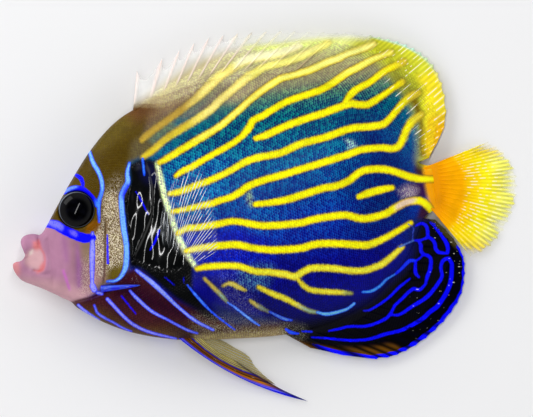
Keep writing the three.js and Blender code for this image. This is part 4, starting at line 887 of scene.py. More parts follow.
def markings_group():
    """Stripes from their distances: ragged edges, a mustard rim round each yellow stripe, and an
    electric blue rim round each pale line, over the ground colour."""
    tree, given, out = group(
        "Markings",
        [("Ground", "Color", None), ("Core", "Color", None), ("Stripe", "Color", None),
         ("Yellow", "Float", 3), ("Blue", "Float", 3), ("Crisp", "Float", 1), ("Position", "Vector", None),
         ("Ragged", "Float", 0.16)],
        [("Color", "Color"), ("Blue mask", "Float"), ("Line mask", "Float")],
    )
    place, core, crisp, stripe = (given[name] for name in ("Position", "Core", "Crisp", "Stripe"))
    shift = times(tree, maths(tree, "ADD", noise(tree, place, 1500.0, 2.0), -0.5), given["Ragged"])
    yellow = times_plus(tree, shift, 2.0, given["Yellow"])
    blue = times_plus(tree, shift, 1.4, given["Blue"])
    rim = times(tree, times(tree, step_mask(tree, yellow, 0.0, 0.46), 0.6), crisp)
    made = blend(tree, rim, given["Ground"], colour(104, 84, 28))
    edge = blend(tree, crisp, stripe, colour(236, 208, 148), "MULTIPLY")
    band = step_mask(tree, yellow, -0.3, 0.24)
    made = blend(tree, band, made, edge)
    made = blend(tree, step_mask(tree, yellow, -0.62, -0.12), made, stripe)
    mask = step_mask(tree, blue, -0.1, 0.14)
    border = blend(tree, 1.0, core, (0.12, 0.2, 1.0), "MULTIPLY")
    made = blend(tree, mask, made, border)
    worn = times(tree, step_mask(tree, noise(tree, place, 2600.0, 2.0), 0.36, 0.46), 0.55)
    made = blend(tree, step_mask(tree, blue, -0.28, -0.04), made, blend(tree, worn, core, border))
    feed(tree, out, Color=made, Blue_mask=mask, Line_mask=maths(tree, "MAXIMUM", band, mask))
    return tree


def glitter_group():
    """Sand-like sparkle: fine cells, some dark and some bright, laid over a colour by a mask. Where the mask
    stands for sparkle on the scales, the bright cells are painted glints.
    """
    tree, given, out = group(
        "Glitter",
        [("Color", "Color", None), ("Mask", "Float", 0), ("Position", "Vector", None),
         ("Cells", "Float", 6200)],
        [("Color", "Color")],
    )
    cells = add(tree, "TexVoronoi", Vector=given["Position"], Scale=given["Cells"])
    grey = add(tree, "RGBToBW", Color=cells.outputs["Color"]).outputs[0]
    made = given["Color"]
    for low, high, strength, shade in ((0.48, 0.34, 0.55, (78, 58, 16)), (0.52, 0.66, 0.85, (238, 222, 196))):
        share = times(tree, times(tree, remap(tree, grey, low, high), given["Mask"]), strength)
        made = blend(tree, share, made, colour(*shade))
    feed(tree, out, Color=made)
    return tree


STRIP_APART = 7.31


def ray_lines_group():
    """Thin lines along a fin's rays and their forks, and the same lines broken by noise into dashes. Every
    line reads its own strip of the noise."""
    tree, given, out = group(
        "Ray lines",
        [("Across", "Float", 0), ("Along", "Float", 0), ("Lines", "Float", 2), ("Width", "Float", 0.5),
         ("Beat", "Float", 12), ("Share", "Float", 0.5)],
        [("Line", "Float"), ("Dash", "Float")],
    )
    place = times(tree, given["Across"], given["Lines"])
    nearest = maths(tree, "ROUND", place)
    off = maths(tree, "ABSOLUTE", maths(tree, "SUBTRACT", place, nearest))
    line = step_mask(tree, off, 0.0, given["Width"])
    strip = add(tree, "CombineXYZ", X=times(tree, nearest, STRIP_APART),
                Y=times(tree, given["Along"], given["Beat"]))
    level = times_plus(tree, given["Share"], -0.5, 0.75)
    above = maths(tree, "SUBTRACT", noise(tree, strip.outputs[0], 1.0, 1.0), level)
    feed(tree, out, Line=line, Dash=times(tree, line, remap(tree, above, -0.02, 0.04)))
    return tree


MARKINGS = markings_group()
GLITTER = glitter_group()
RAY_LINES = ray_lines_group()


def new_material(name, roughness, coat=0.1, coat_roughness=0.08):
    """A finish with its Principled shader, ready for the pattern."""
    material = bpy.data.materials.new(name)
    material.use_nodes = True
    tree = material.node_tree
    tree.nodes.clear()
    shader = add(tree, "BsdfPrincipled", Roughness=roughness, Specular_IOR_Level=0.03, Coat_Weight=coat,
                 Coat_Roughness=coat_roughness)
    add(tree, "OutputMaterial", Surface=shader.outputs[0])
    return material, tree, shader, add(tree, "TexCoord").outputs["Object"]


def marked_colour(tree, position, ragged=0.16):
    """The markings of skin, fins and scales with a cloudy change of tone, and where stripes and lines are."""
    marks = add(tree, "Group", {"node_tree": MARKINGS}, Position=position, Ragged=ragged,
                **{name: read(tree, name.lower(), "Color") for name in ("Ground", "Core", "Stripe")},
                **{name: read(tree, name.lower()) for name in ("Yellow", "Blue", "Crisp")})
    grains = times(tree, read(tree, "glitter"), maths(tree, "SUBTRACT", 1.0, marks.outputs["Blue mask"]))
    sparkle = add(tree, "Group", {"node_tree": GLITTER}, Color=marks.outputs["Color"], Position=position,
                  Mask=grains)
    tone = remap(tree, noise(tree, position, 220.0, 4.0), first=0.72, last=1.28)
    return toned(tree, sparkle.outputs["Color"], tone), marks.outputs["Line mask"]


def ray_lines(tree, **values):
    """The ray lines at a fin's own places across and along its rays."""
    return add(tree, "Group", {"node_tree": RAY_LINES}, Across=read(tree, "across"), Along=read(tree, "out"),
               **values).outputs


def bump(tree, shader, height, strength, distance):
    node = add(tree, "Bump", Height=height, Strength=strength, Distance=distance)
    feed(tree, shader, Normal=node.outputs[0])


def wet_coat(tree, shader):
    """A wet coat, stronger on the gill cover; gives how wet the place is."""
    wet = read(tree, "wet")
    feed(tree, shader, Coat_Weight=times_plus(tree, wet, 0.6, 0.07))
    return wet


def skin_material():
    """Wet skin: the markings under a clear coat, with a fine leathery bump that the gill cover lacks; it
    swells in low waves instead."""
    material, tree, shader, position = new_material("wet_skin", roughness=0.45)
    feed(tree, shader, Base_Color=marked_colour(tree, position)[0])
    wet = wet_coat(tree, shader)
    leathery = times(tree, times_plus(tree, wet, -0.9, 1.0), noise(tree, position, 2600.0, 3.0))
    swell = times(tree, noise(tree, position, 430.0, 1.0), wet)
    bump(tree, shader, times_plus(tree, swell, 7.0, leathery), strength=0.35, distance=0.00012)
    return material


def scale_material():
    """Scales: the same markings, deeper at the root and lighter at the free edge; on the flank the root
    turns navy and the edge teal, while stripes and lines stay even."""
    material, tree, shader, position = new_material("scales", roughness=0.45)
    made, lines = marked_colour(tree, position)
    lift = read(tree, "lift")
    gentle = toned(tree, made, remap(tree, lift, first=0.92, last=1.06))
    root = blend(tree, 1.0, made, (0.14, 0.1, 0.6), "MULTIPLY")
    edge = blend(tree, 1.0, made, (1.8, 2.7, 1.5), "MULTIPLY")
    share = times(tree, times_plus(tree, lines, -0.9, 1.0), read(tree, "sheen"))
    feed(tree, shader, Base_Color=blend(tree, share, gentle, blend(tree, lift, root, edge)))
    bump(tree, shader, noise(tree, position, 5200.0, 2.0), strength=0.25, distance=0.00006)
    wet_coat(tree, shader)
    return material


def fin_material(name, lines, dashed, width, beat, share):
    """Fin membrane: the markings, shaded ray by ray, pale spines, short bright dashes on the rays as painted
    glints, and clear where cover is low; where thin is high only the rays are left of the web. Lines and
    dashed count the shaded lines and the dashed ones for each ray."""
    material, tree, shader, position = new_material(name, roughness=0.42, coat=0.05)
    made, _ = marked_colour(tree, position, 0.1)
    broad = ray_lines(tree, Lines=lines)["Line"]
    dash = ray_lines(tree, Lines=dashed, Width=width, Beat=beat, Share=share)["Dash"]
    swing = remap(tree, broad, first=-0.34, last=0.2)
    made = toned(tree, made, times_plus(tree, swing, read(tree, "striped"), 1.0))
    made = blend(tree, read(tree, "pale"), made, colour(252, 232, 224))
    # Painted glints: near-white dashes laid along the rays where glint is high.
    made = blend(tree, times(tree, dash, read(tree, "glint")), made, colour(255, 252, 236))
    gone = times(tree, maths(tree, "SUBTRACT", 1.0, broad), read(tree, "thin"))
    alpha = times(tree, maths(tree, "SUBTRACT", 1.0, gone), read(tree, "cover"))
    feed(tree, shader, Base_Color=made, Alpha=alpha)
    bump(tree, shader, noise(tree, position, 3000.0, 3.0), strength=0.3, distance=0.0001)
    return material


def clear_material():
    """Pectoral fin: a film of clear membrane with fine, broken, pale rays. Their white is painted highlight,
    the glints on the wet rays.
    """
    material, tree, shader, position = new_material("clear_fin", roughness=0.3)
    lines = ray_lines(tree, Lines=2, Width=0.17, Beat=3.0, Share=0.55)
    film = times_plus(tree, lines["Line"], 0.07, times_plus(tree, lines["Dash"], 0.86, 0.008))
    feed(tree, shader, Base_Color=blend(tree, lines["Line"], colour(180, 205, 230), colour(253, 253, 253)),
         Alpha=times(tree, film, read(tree, "cover")))
    bump(tree, shader, noise(tree, position, 900.0, 2.0), strength=0.4, distance=0.0001)
    return material


def eye_material():
    """Eye: black under a clear wet coat, with a thin silver ring at the iris's rim, brighter on two opposite
    sides as painted glints.
    """
    material, tree, shader, position = new_material("eye", roughness=0.1, coat=0.13, coat_roughness=0.02)
    inner = step_mask(tree, noise(tree, position, 700.0, 3.0), 0.35, 0.75)
    shade = blend(tree, inner, colour(6, 6, 12), colour(1, 1, 2))
    feed(tree, shader, Base_Color=blend(tree, read(tree, "ring"), shade, colour(150, 158, 170)))
    return material


def thorn_material():
    """Cheek spine: smooth bone, electric blue with a pale lengthwise sheen."""
    material, tree, shader, position = new_material("cheek_spine", roughness=0.25, coat=0.6,
                                                    coat_roughness=0.05)
    streak = step_mask(tree, noise(tree, position, 600.0, 3.0), 0.4, 0.62)
    made = blend(tree, streak, colour(30, 70, 190), colour(6, 6, 215))
    # The ring attribute is the painted sheen, a pale lengthwise highlight.
    feed(tree, shader, Base_Color=blend(tree, read(tree, "ring"), made, colour(70, 100, 235)))
    return material


SKIN = skin_material()
SCALES = scale_material()
DORSAL_FINISH = fin_material("dorsal_membrane", lines=2, dashed=2, width=0.15, beat=5, share=0.5)
ANAL_FINISH = fin_material("anal_membrane", lines=1, dashed=3, width=0.2, beat=16, share=0.2)
TAIL_FINISH = fin_material("tail_membrane", lines=2, dashed=2, width=0.26, beat=14, share=0.5)
PELVIC_FINISH = fin_material("pelvic_membrane", lines=2, dashed=3, width=0.16, beat=14, share=0.3)
CLEAR = clear_material()
EYE_FINISH = eye_material()
THORN_FINISH = thorn_material()


def build_skin():
    """One closed skin from inside the mouth over lips, head and trunk to the tail fin's root."""
    v = rows(SKIN_ROUND, 0.7)
    inside = np.linspace(1, 0, THROAT_STEPS)[:-1]
    lips = rows(LIP_STEPS, 0.4)
    stations = np.concatenate([np.linspace(*steps)[1:] for steps in TRUNK_STEPS])
    parts = [form(*np.meshgrid(s, v, indexing="ij"))
             for form, s in ((mouth_inside, inside), (jaws, lips), (trunk, stations))]
    xy, half = (np.concatenate(values) for values in zip(*parts))
    points, faces, left = closed_sheet(*faces_of(xy, pinched(half)))
    marks = marks_at(points[:, 0], points[:, 1], left)
    lining = np.concatenate([ease(inside * 2.5), 0 * lips, 0 * stations])
    lining = sheet_marks(np.repeat(lining[:, None], len(v), 1))
    marks["ground"] = mix(marks["ground"], colour(150, 62, 60), lining[:, None])
    skin = new_piece("skin", points, faces, SKIN, marks)
    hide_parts("head", "torso", "tail_base", "gill_cover_left", "gill_cover_right", "upper_lip",
                "lower_jaw", "mouth_lining")


def crests(positions, per_gap):
    """Columns of a fin: each one's place u and its place counted in rays."""
    across = np.arange((len(positions) - 1) * per_gap + 1) / per_gap
    return np.interp(across, np.arange(len(positions)), positions), across


def sheathed(distance, sheath=SHEATH):
    """Half thickness of the body's skin that runs out over a fin's base: a power of what is left of it."""
    return sheath * np.maximum(1 - distance / SHEATH_REACH, 0) ** 1.5


def ridges(across, power, per_ray=1):
    """Ridges on the rays: half of one plus the cosine of the place between them, raised to a power."""
    return (0.5 + 0.5 * np.cos(2 * np.pi * per_ray * across)) ** power


def fin_sheet(base, edge, u, across, t, height, power, forked, notch, sink=1.6, sheath=SHEATH):
    """A fin as a thin pillow on the middle sheet. Columns run along the rays from sink millimetres inside the
    body to the rim; a ray is a ridge that forks and thins outwards, and the web between two rays stops notch
    short of the rim. Height, power, forked and notch may change along the fin. Gives both faces, the ridges,
    and each place's share of the way from root to rim."""
    height, power, forked, notch = (np.broadcast_to(q, u.shape) for q in (height, power, forked, notch))
    root, tip = base(u), edge(u)
    reach = np.hypot(*(tip - root).T)
    ends = 1 - np.abs(np.sin(np.pi * across)) ** 0.8 * notch
    start = -sink / reach
    out = start[:, None] + (ends - start)[:, None] * t
    xy = root[:, None] + (tip - root)[:, None] * out[..., None]
    shown = np.clip(out, 0, 1)
    forks = ridges(across, 3, 2) * 0.6
    rays = mix(ridges(across, power)[:, None], forks[:, None], ease((shown - 0.35) / 0.3) * forked[:, None])
    half = np.maximum(WEB + rays * (height[:, None] * (1 - shown * 0.85)),
                      sheathed(shown * reach[:, None], sheath))
    half = half * round_rim((ends[:, None] - out) * reach[:, None], 0.3)
    return faces_of(xy, pinched(half)), rays, out


DORSAL_BASE = through([
    [0, 33.8, 33.6], [0.2, 44.5, 36.9], [0.42, 58, 39], [0.62, 74, 37.4], [0.74, 84, 33], [0.84, 91.4, 27.2],
    [0.93, 98.2, 18.6], [1, 102, 12.6],
])
DORSAL_EDGE = through([
    [0, 35.9, 43.1], [0.1, 43.7, 45.7], [0.24, 54, 48.9], [0.42, 68.5, 48.8], [0.62, 86.5, 46.3],
    [0.7, 94.4, 44.6], [0.78, 102.5, 41.3], [0.85, 107.7, 36.5], [0.91, 109.9, 29.4], [0.955, 109.2, 21],
    [1, 104.2, 13.2],
])
ANAL_BASE = through([
    [0, 64.4, -25.5], [0.2, 72.5, -24.7], [0.4, 81.5, -22.1], [0.6, 89.3, -17.5], [0.8, 96.2, -10],
    [1, 101.2, -1.3],
])
ANAL_EDGE = through([
    [0, 69.8, -29.4], [0.07, 77, -32], [0.14, 85, -34.1], [0.3, 93.4, -32.8], [0.45, 101.5, -28.2],
    [0.6, 107.7, -21.6], [0.75, 109.8, -14.2], [0.86, 109.1, -9.7], [0.94, 106.6, -5.3], [1, 103.9, -1.9],
])
CAUDAL_BASE = through([[0, TAIL_ROOT, 11.2], [0.5, TAIL_ROOT, 6], [1, TAIL_ROOT, 0.6]])
CAUDAL_EDGE = through([
    [0, 119.2, 15.4], [0.12, 122.4, 12.6], [0.3, TOTAL_LENGTH, 7.2], [0.45, TOTAL_LENGTH - 0.4, 2.2],
    [0.62, 122.6, -3.2], [0.8, 118.6, -8.4], [0.92, 114.8, -11], [1, 111.4, -12],
])


def edge_distance(xy, edge):
    """Distance of each place on a fin from its free edge."""
    rim = edge(np.linspace(0, 1, 240))
    return np.sqrt(((xy[..., None, :2] - rim) ** 2).sum(-1).min(-1))


def fin_piece(name, nodes, material, faces, across, traits, washes=(), rim=None):
    """Makes a fin from its two faces with the side view's marks. Traits are values on the grid that its
    finish reads; washes are (share, colour) laid over the marks; rim is the distance to an electric blue
    edge."""
    points, quads, left = closed_sheet(*faces)
    marks = marks_at(points[:, 0], points[:, 1], left)
    for share, shade in washes:
        share = sheet_marks(share)
        shade = sheet_marks(shade) if np.ndim(shade) > 1 else shade
        marks["ground"] = mix(marks["ground"], shade, share[:, None])
        marks["yellow"] = marks["yellow"] + 3 * share
        marks["blue"] = marks["blue"] + 3 * share
        marks["glitter"] = marks["glitter"] * (1 - share)
    if rim is not None:
        rim = sheet_marks(rim)
        marks["core"] = np.where((rim < marks["blue"])[:, None], ELECTRIC, marks["core"])
        marks["blue"] = np.minimum(marks["blue"], rim)
    still = np.zeros(faces[0].shape[:2])
    usual = {"pale": 0, "glint": 0, "striped": 0, "thin": 0, "cover": 1}
    for key, values in {**usual, **traits, "across": across[:, None]}.items():
        marks[key] = sheet_marks(values + still)
    piece = new_piece(name, points, quads, material, marks)
    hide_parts(*nodes)


def build_dorsal():
    """Dorsal fin: stiff spines in front with the web cut in behind each, soft forked rays behind."""
    spines = DORSAL_SPLIT * np.linspace(0, 1, DORSAL_SPINES) ** DORSAL_SPREAD
    rays = np.linspace(DORSAL_SPLIT, 1, DORSAL_RAYS + 2)[1:]
    gap, steps = DORSAL_GRID
    u, across = crests(np.concatenate([spines, rays]), gap)
    soft = ease((u - DORSAL_SPLIT) / 0.03)
    faces, ridge, out = fin_sheet(
        DORSAL_BASE, DORSAL_EDGE, u, across, np.linspace(0, 1, steps) ** 0.95, height=mix(0.5, 0.16, soft),
        power=mix(9, 4, soft), forked=soft, notch=mix(0.36, 0.03, ease(u / 0.55)))
    u = u[:, None]
    front = 1 - ease((u - 0.2) / 0.45)
    rear = ease((u - 0.7) / 0.1) * ease((0.997 - u) / 0.02)
    # Painted glints: short bright dashes on the rear rays, from the stripes' ends out towards the rim.
    glint = 0.95 * rear * ease((out - mix(0.45, 0.15, ease((u - 0.75) / 0.15))) / 0.15)
    glint = glint * ease((0.98 - out) / 0.05)
    clear = look_up(MARKS_CLEAR, faces[0][..., 0], faces[0][..., 1]) * (1 - 0.9 * ridge * front)
    hem = 0.85 * bell(u - 0.78, 0.09) * ease((out - 0.93) / 0.04)
    striped = ease((u - 0.6) / 0.1) * (0.2 * ease((out - 0.3) / 0.2) + 0.35 * ease((out - 0.7) / 0.2))
    fin_piece("dorsal_membrane", ["dorsal_fin_spines", "dorsal_fin_rays"], DORSAL_FINISH, faces,
              across, {"cover": 1 - clear, "pale": 0.9 * front * ridge * ease((out - 0.08) / 0.2),
                       "glint": glint, "out": out, "striped": striped}, [(hem, colour(186, 236, 232))])


def build_anal():
    """Anal fin: three stout spines, then soft rays; black with the blue network, an electric blue rim and an
    olive hem against the tail fin."""
    spines = np.linspace(0, ANAL_SPLIT, ANAL_SPINES)
    rays = np.linspace(ANAL_SPLIT, 1, ANAL_RAYS + 1)[1:]
    gap, steps = ANAL_GRID
    u, across = crests(np.concatenate([spines, rays]), gap)
    soft = ease((u - ANAL_SPLIT) / 0.05)
    faces, _, out = fin_sheet(
        ANAL_BASE, ANAL_EDGE, u, across, np.linspace(0, 1, steps), height=mix(0.5, 0.2, soft), power=4,
        forked=soft, notch=mix(0.05, 0.015, soft))
    inset = edge_distance(faces[0], ANAL_EDGE)
    along_rim = ease((u - 0.01) / 0.03) * (1 - ease((u - 0.86) / 0.05))
    ragged = 0.16 * np.sin(across * 3.7) * np.sin(across * 1.9)
    breadth = mix(-1.2, mix(1.1, 0.62, ease((u - 0.5) / 0.2)), along_rim) + ragged * along_rim
    u = u[:, None]
    hem = ease((u - 0.84) / 0.05) * (1 - ease((inset - 1.0) / 0.5))
    bronze = (1 - ease((u - 0.42) / 0.1)) * (1 - ease((inset - 4.4) / 1.2))
    # Painted glints: bright dashes on the soft rays, clear of root and rim.
    glint = 0.7 * ease((u - 0.35) / 0.1) * ease((out - 0.3) / 0.1) * ease((0.95 - out) / 0.03)
    fin_piece("anal_membrane", ["anal_fin"], ANAL_FINISH, faces, across,
              {"cover": 1 - 0.3 * hem, "glint": glint, "out": out, "striped": 2.6 * bronze},
              [(hem, colour(64, 56, 4))], inset - breadth[:, None])


def build_caudal():
    """Tail fin: orange at the root, yellow outwards, clear at the edge, with forking rays."""
    gap, steps = CAUDAL_GRID
    u, across = crests(np.linspace(0, 1, CAUDAL_RAYS), gap)
    faces, _, out = fin_sheet(CAUDAL_BASE, CAUDAL_EDGE, u, across, np.linspace(0, 1, steps), height=0.14,
                              power=4, forked=1, notch=0.03, sink=1.2, sheath=1.2)
    tint = colour(248, 160, 0)
    for start, span, shade in [
        (0.1, 0.25, (255, 176, 0)), (0.36, 0.14, (255, 212, 10)), (0.5, 0.16, (255, 240, 30)),
        (0.68, 0.2, (255, 252, 110)),
    ]:
        tint = mix(tint, colour(*shade), ease((out - start) / span)[..., None])
    lobe = bell(np.minimum(u, 1 - u)[:, None] - 0.06, 0.08)
    tint = mix(tint, colour(255, 214, 0), (0.6 * lobe * ease((out - 0.3) / 0.2))[..., None])
    torn = 0.05 * np.sin(across * 1.3 + 0.6)[:, None] + 0.035 * np.sin(across * 3.1)[:, None]
    fin_piece("tail_membrane", ["tail_fin"], TAIL_FINISH, faces, across, {
        "cover": 1 - 0.9 * ease((out - 0.84 + torn) / 0.16), "thin": 0.78 * ease((out - 0.68 + torn) / 0.24),
        # glint: painted glints, bright dashes on the rays between root and rim
        "glint": 0.7 * ease((out - 0.4) / 0.04) * ease((0.95 - out) / 0.2) * (1 - 0.8 * lobe), "out": out,
        "striped": 0.06 + 0.3 * ease((out - 0.35) / 0.15),
    }, [(1 + 0 * out, tint)])


# Each pelvic fin's root and edge, how far its first and last column bow, how high its root stands over
# the middle sheet and at what height it rests.
PELVIC = {
    "left": {
        "base": through([[0, 37.3, -23.4], [1, 43.2, -24.2]]),
        "edge": through([[0, 67.6, -42.3], [0.2, 62, -38.9], [0.4, 58.6, -36.4], [0.7, 55, -33.6],
                         [1, 51.6, -30.6]]),
        "bow": (-2.3, -0.6), "height": 2.0, "rest": 1.25,
    },
    "right": {
        "base": through([[0, 38.6, -23.6], [1, 44.2, -24.4]]),
        "edge": through([[0, 60.2, -37.3], [0.25, 57.6, -34.6], [0.5, 55.6, -32], [0.75, 54.3, -29.4],
                         [1, 50.4, -26.4]]),
        "bow": (-0.6, 0.5), "height": -1.75, "rest": 0.25,
    },
}


def pelvic_tint(side, u, out):
    """The pelvic fin's colour: bands across its columns u, the bronze one lighter outwards, the tip dark."""
    if side == "right":
        return mix(colour(150, 124, 60), colour(184, 172, 104), ease(u / 0.4)) + 0 * out
    bronze = mix(colour(116, 66, 12), colour(196, 118, 16), ease((out - 0.3) / 0.3))
    tint = mix(colour(20, 24, 245), colour(74, 38, 8), ease((u - 0.19) / 0.04))
    for centre, breadth, shade in [
        (0.13, 0.025, colour(130, 130, 255)), (0.27, 0.07, bronze), (0.37, 0.03, colour(36, 16, 6)),
        (0.45, 0.045, colour(150, 86, 16)), (0.51, 0.022, colour(28, 14, 10)),
        (0.57, 0.03, colour(24, 24, 210)),
    ]:
        tint = mix(tint, shade, bell(u - centre, breadth))
    tint = mix(tint, colour(192, 180, 106), ease((u - 0.61) / 0.05))
    tint = mix(tint, colour(124, 98, 84), 0.7 * bell(u - 0.75, 0.045))
    return mix(tint, colour(20, 16, 60), ease((out - 0.86) / 0.1) * 0.8)


def build_pelvic(side):
    """Pelvic fin: spine and rays folded back under the breast; each column bows towards the tail and sinks
    from its root to the height at which it rests."""
    fin = PELVIC[side]
    gap, steps = PELVIC_GRID
    u, across = crests(np.linspace(0, 1, PELVIC_RAYS), gap)
    root, tip = fin["base"](u), fin["edge"](u)
    out = np.broadcast_to(np.linspace(0, 1, steps), (len(u), steps))
    sag = mix(*fin["bow"], u)[:, None] * 4 * out * (1 - out)
    start = root + np.array([0, 1.2])
    xy = mix(start[:, None], tip[:, None], out[..., None]) + sag[..., None] * np.array([0.45, 0.89])
    crest = ridges(across, 3)[:, None]
    spine = (u < 0.02)[:, None]
    half = (0.14 + crest * np.where(spine, 0.45, 0.22) * (1 - out)) * round_rim((1 - out) * 12, 0.4)
    half = pinched(half * round_rim(np.minimum(u, 1 - u)[:, None] * 8, 0.25))
    m = mix((median(root[:, 0], root[:, 1]) + fin["height"])[:, None], fin["rest"], ease(out / 0.8))
    left = side == "left"
    webbed = ease((u - (0.62 if left else 0.0)) / 0.08)[:, None]
    # The glint trait paints glints along the ray crests as bright dashes.
    fin_piece(f"pelvic_membrane_{side}", [f"pelvic_fin_{side}"], PELVIC_FINISH,
              pillow(xy, np.maximum(m, half), half), across,
              {"cover": mix(1.0, 0.9, webbed), "out": out, "thin": webbed * (0.5 if left else 0.9),
               "striped": 0.8, "glint": 0.5 * crest},
              [(1 + 0 * out, pelvic_tint(side, u[:, None, None] + 0 * out[..., None], out[..., None]))])


PECTORAL_BASE = through([[0, 37, -0.4], [1, 43.4, -6.2]])
PECTORAL_EDGE = through([
    [0, 39.6, 12.2], [0.15, 43, 17.4], [0.32, 48, 18.8], [0.5, 50.2, 13.6], [0.75, 51, 5], [1, 50.8, -2.6],
])


def build_pectoral(side):
    """Pectoral fin: a fan of fine forked rays in a clear film, laid back on the flank."""
    gap, steps = PECTORAL_GRID
    u, across = crests(np.linspace(0, 1, PECTORAL_RAYS), gap)
    out = np.broadcast_to(np.linspace(0, 1, steps), (len(u), steps))
    root, tip = PECTORAL_BASE(u), PECTORAL_EDGE(u)
    xy = mix(root[:, None], tip[:, None], out[..., None])
    xy[..., 0] -= 0.9 * np.sin(np.pi * out) * (1 - u)[:, None]
    rays = mix(ridges(across, 6)[:, None], ridges(across, 5, 2)[:, None], ease((out - 0.4) / 0.25))
    half = (0.06 + rays * 0.12 * (1 - 0.6 * out)) * round_rim((1 - out) * 10, 0.3)
    half = pinched(half * round_rim(np.minimum(u, 1 - u)[:, None] * 10, 0.2))
    m = flank_height(xy[..., 0], xy[..., 1], 1) + 0.42 + 0.25 * ease(out) if side == "left" else 0.35
    points, faces, _ = closed_sheet(*pillow(xy, m, half))
    traits = {"across": across[:, None] + 0 * out, "out": out,
              "cover": ease((out - 0.02) / 0.2) * ease((1.0 - out) / 0.25)}
    marks = {key: sheet_marks(values) for key, values in traits.items()}
    piece = new_piece(f"pectoral_membrane_{side}", points, faces, CLEAR, marks)
    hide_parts(f"pectoral_fin_{side}")


def closed_rings(rings, start, end):
    """Points and faces of a tube of rings with a point at either end."""
    count, around = rings.shape[:2]
    points = np.concatenate([rings.reshape(-1, 3), [start], [end]])
    g = np.arange(count * around).reshape(count, around)
    turned = np.roll(g, -1, axis=1)
    quads = np.stack([g[:-1], turned[:-1], turned[1:], g[1:]], -1).reshape(-1, 4)
    first = np.stack([np.full(around, g.size), turned[0], g[0]], -1)
    last = np.stack([np.full(around, g.size + 1), g[-1], turned[-1]], -1)
    return points, [quads, first, last]


def build_eye(side, word):
    """Eyeball: an ellipsoid with its pole out of the flank; the ring is a narrow band near its rim."""
    share = (EYE_Y - BELLY(EYE_X)) / (BACK(EYE_X) - BELLY(EYE_X))
    flank = float(half_body(np.array(EYE_X), np.array(share)))
    z = float(median(EYE_X, EYE_Y)) + side * (flank + EYE_OUT - EYE_DEPTH)
    polar = np.linspace(0, np.pi, 66)[1:-1, None]
    turn = np.linspace(0, 2 * np.pi, 96, endpoint=False)[None, :]
    rings = np.stack([
        EYE_X + EYE_RADIUS * np.sin(polar) * np.cos(turn),
        EYE_Y + EYE_RADIUS * np.sin(polar) * np.sin(turn),
        z + EYE_DEPTH * np.cos(polar) + 0 * turn,
    ], -1)
    points, faces = closed_rings(rings, (EYE_X, EYE_Y, z + EYE_DEPTH), (EYE_X, EYE_Y, z - EYE_DEPTH))
    dx, dy = points[:, 0] - EYE_X, points[:, 1] - EYE_Y
    # Painted glints: the ring is faint all round and brighter on two opposite sides.
    swing = np.cos(np.arctan2(dy, dx) + 0.75) ** 2
    outer = side * (points[:, 2] - z) > 0
    ring = bell(np.hypot(dx, dy) - IRIS_RADIUS, 0.06) * (0.25 + 0.75 * swing) * outer
    eye = new_piece(f"eyeball_{word}", points, faces, EYE_FINISH, {"ring": ring})
    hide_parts(f"eye_{word}")


def build_cheek_spine(side, word):
    """Cheek spine: a cone on the cheek's lower corner, its radius falling as a power of what is left."""
    t = np.linspace(0, 1, 40)[:, None]
    turn = np.linspace(0, 2 * np.pi, 24, endpoint=False)[None, :]
    x = mix(THORN_START, THORN_END, t)
    y = THORN_Y - 0.25 * t
    radius = THORN_RADIUS * (1 - t) ** 0.7 + 0.1
    z = flank_height(x, y, side) + side * 0.12
    if side < 0:
        z = np.maximum(z, radius + 0.02)
    rings = np.stack([x + 0 * turn, y + 0.9 * radius * np.cos(turn), z + radius * np.sin(turn)], -1)
    start, end = (THORN_START - 0.2, THORN_Y), (THORN_END + 0.2, THORN_Y - 0.27)
    points, faces = closed_rings(rings[:, ::-1], (*start, float(z[0, 0])), (*end, float(z[-1, 0])))
    # Painted highlight: a pale band along the spine, its sheen.
    pale = 0.7 * bell(points[:, 1] + 8.5, 0.3)
    spine = new_piece(f"cheek_thorn_{word}", points, faces, THORN_FINISH, {"ring": pale})
    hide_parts(f"cheek_spine_{word}")


# One scale: places along and across it and above the skin, then its faces. The last three points
# are the skirt that carries its free edge down to the skin. Lift is 0 at its root and 1 at its free edge.
SCALE_FORM = np.array([
    [-0.62, 0, -0.3], [-0.15, -0.5, -0.05], [-0.15, 0.5, -0.05], [0.26, -0.42, 0.6], [0.5, 0, 1.0],
    [0.26, 0.42, 0.6], [0.0, 0, 0.85], [0.3, -0.46, -0.45], [0.56, 0, -0.45], [0.3, 0.46, -0.45],
])
SCALE_LIFT = np.array([0, 0.05, 0.05, 0.75, 1, 0.75, 0.1, 0.3, 0.5, 0.3])
SCALE_FACES = np.array([
    [6, 0, 1], [6, 1, 3], [6, 3, 4], [6, 4, 5], [6, 5, 2], [6, 2, 0], [1, 7, 3], [3, 7, 8], [3, 8, 4],
    [4, 8, 9], [4, 9, 5], [5, 9, 2],
])
CHART_PATCH, CHART_MARGIN, CHART_START, CHART_LONG = 0.0015, 0.02, 9, 96
TRUNK_ROWS, TRUNK_PITCH, TRUNK_RISE = 86, 0.58, 0.085
FIN_ROWS, FIN_RISE = 34, 0.05
# The trunk's scales in x and in the share of its height: (start, end, how finely it is measured).
TRUNK_LONG, TRUNK_HIGH = (11, 103, 185), (0.004, 0.996, 160)
BARE_ROUND_EYE, BARE_LIPS_X, BARE_LIPS_Y = 5.6, 21, (-10.5, 4.5)


def chart_place(a, b):
    """Places on the bake map from two shares, clear of its border."""
    return CHART_MARGIN + (1 - 2 * CHART_MARGIN) * np.column_stack([a, b])


def unit(vectors):
    return vectors / (np.linalg.norm(vectors, axis=1, keepdims=True) + 1e-12)


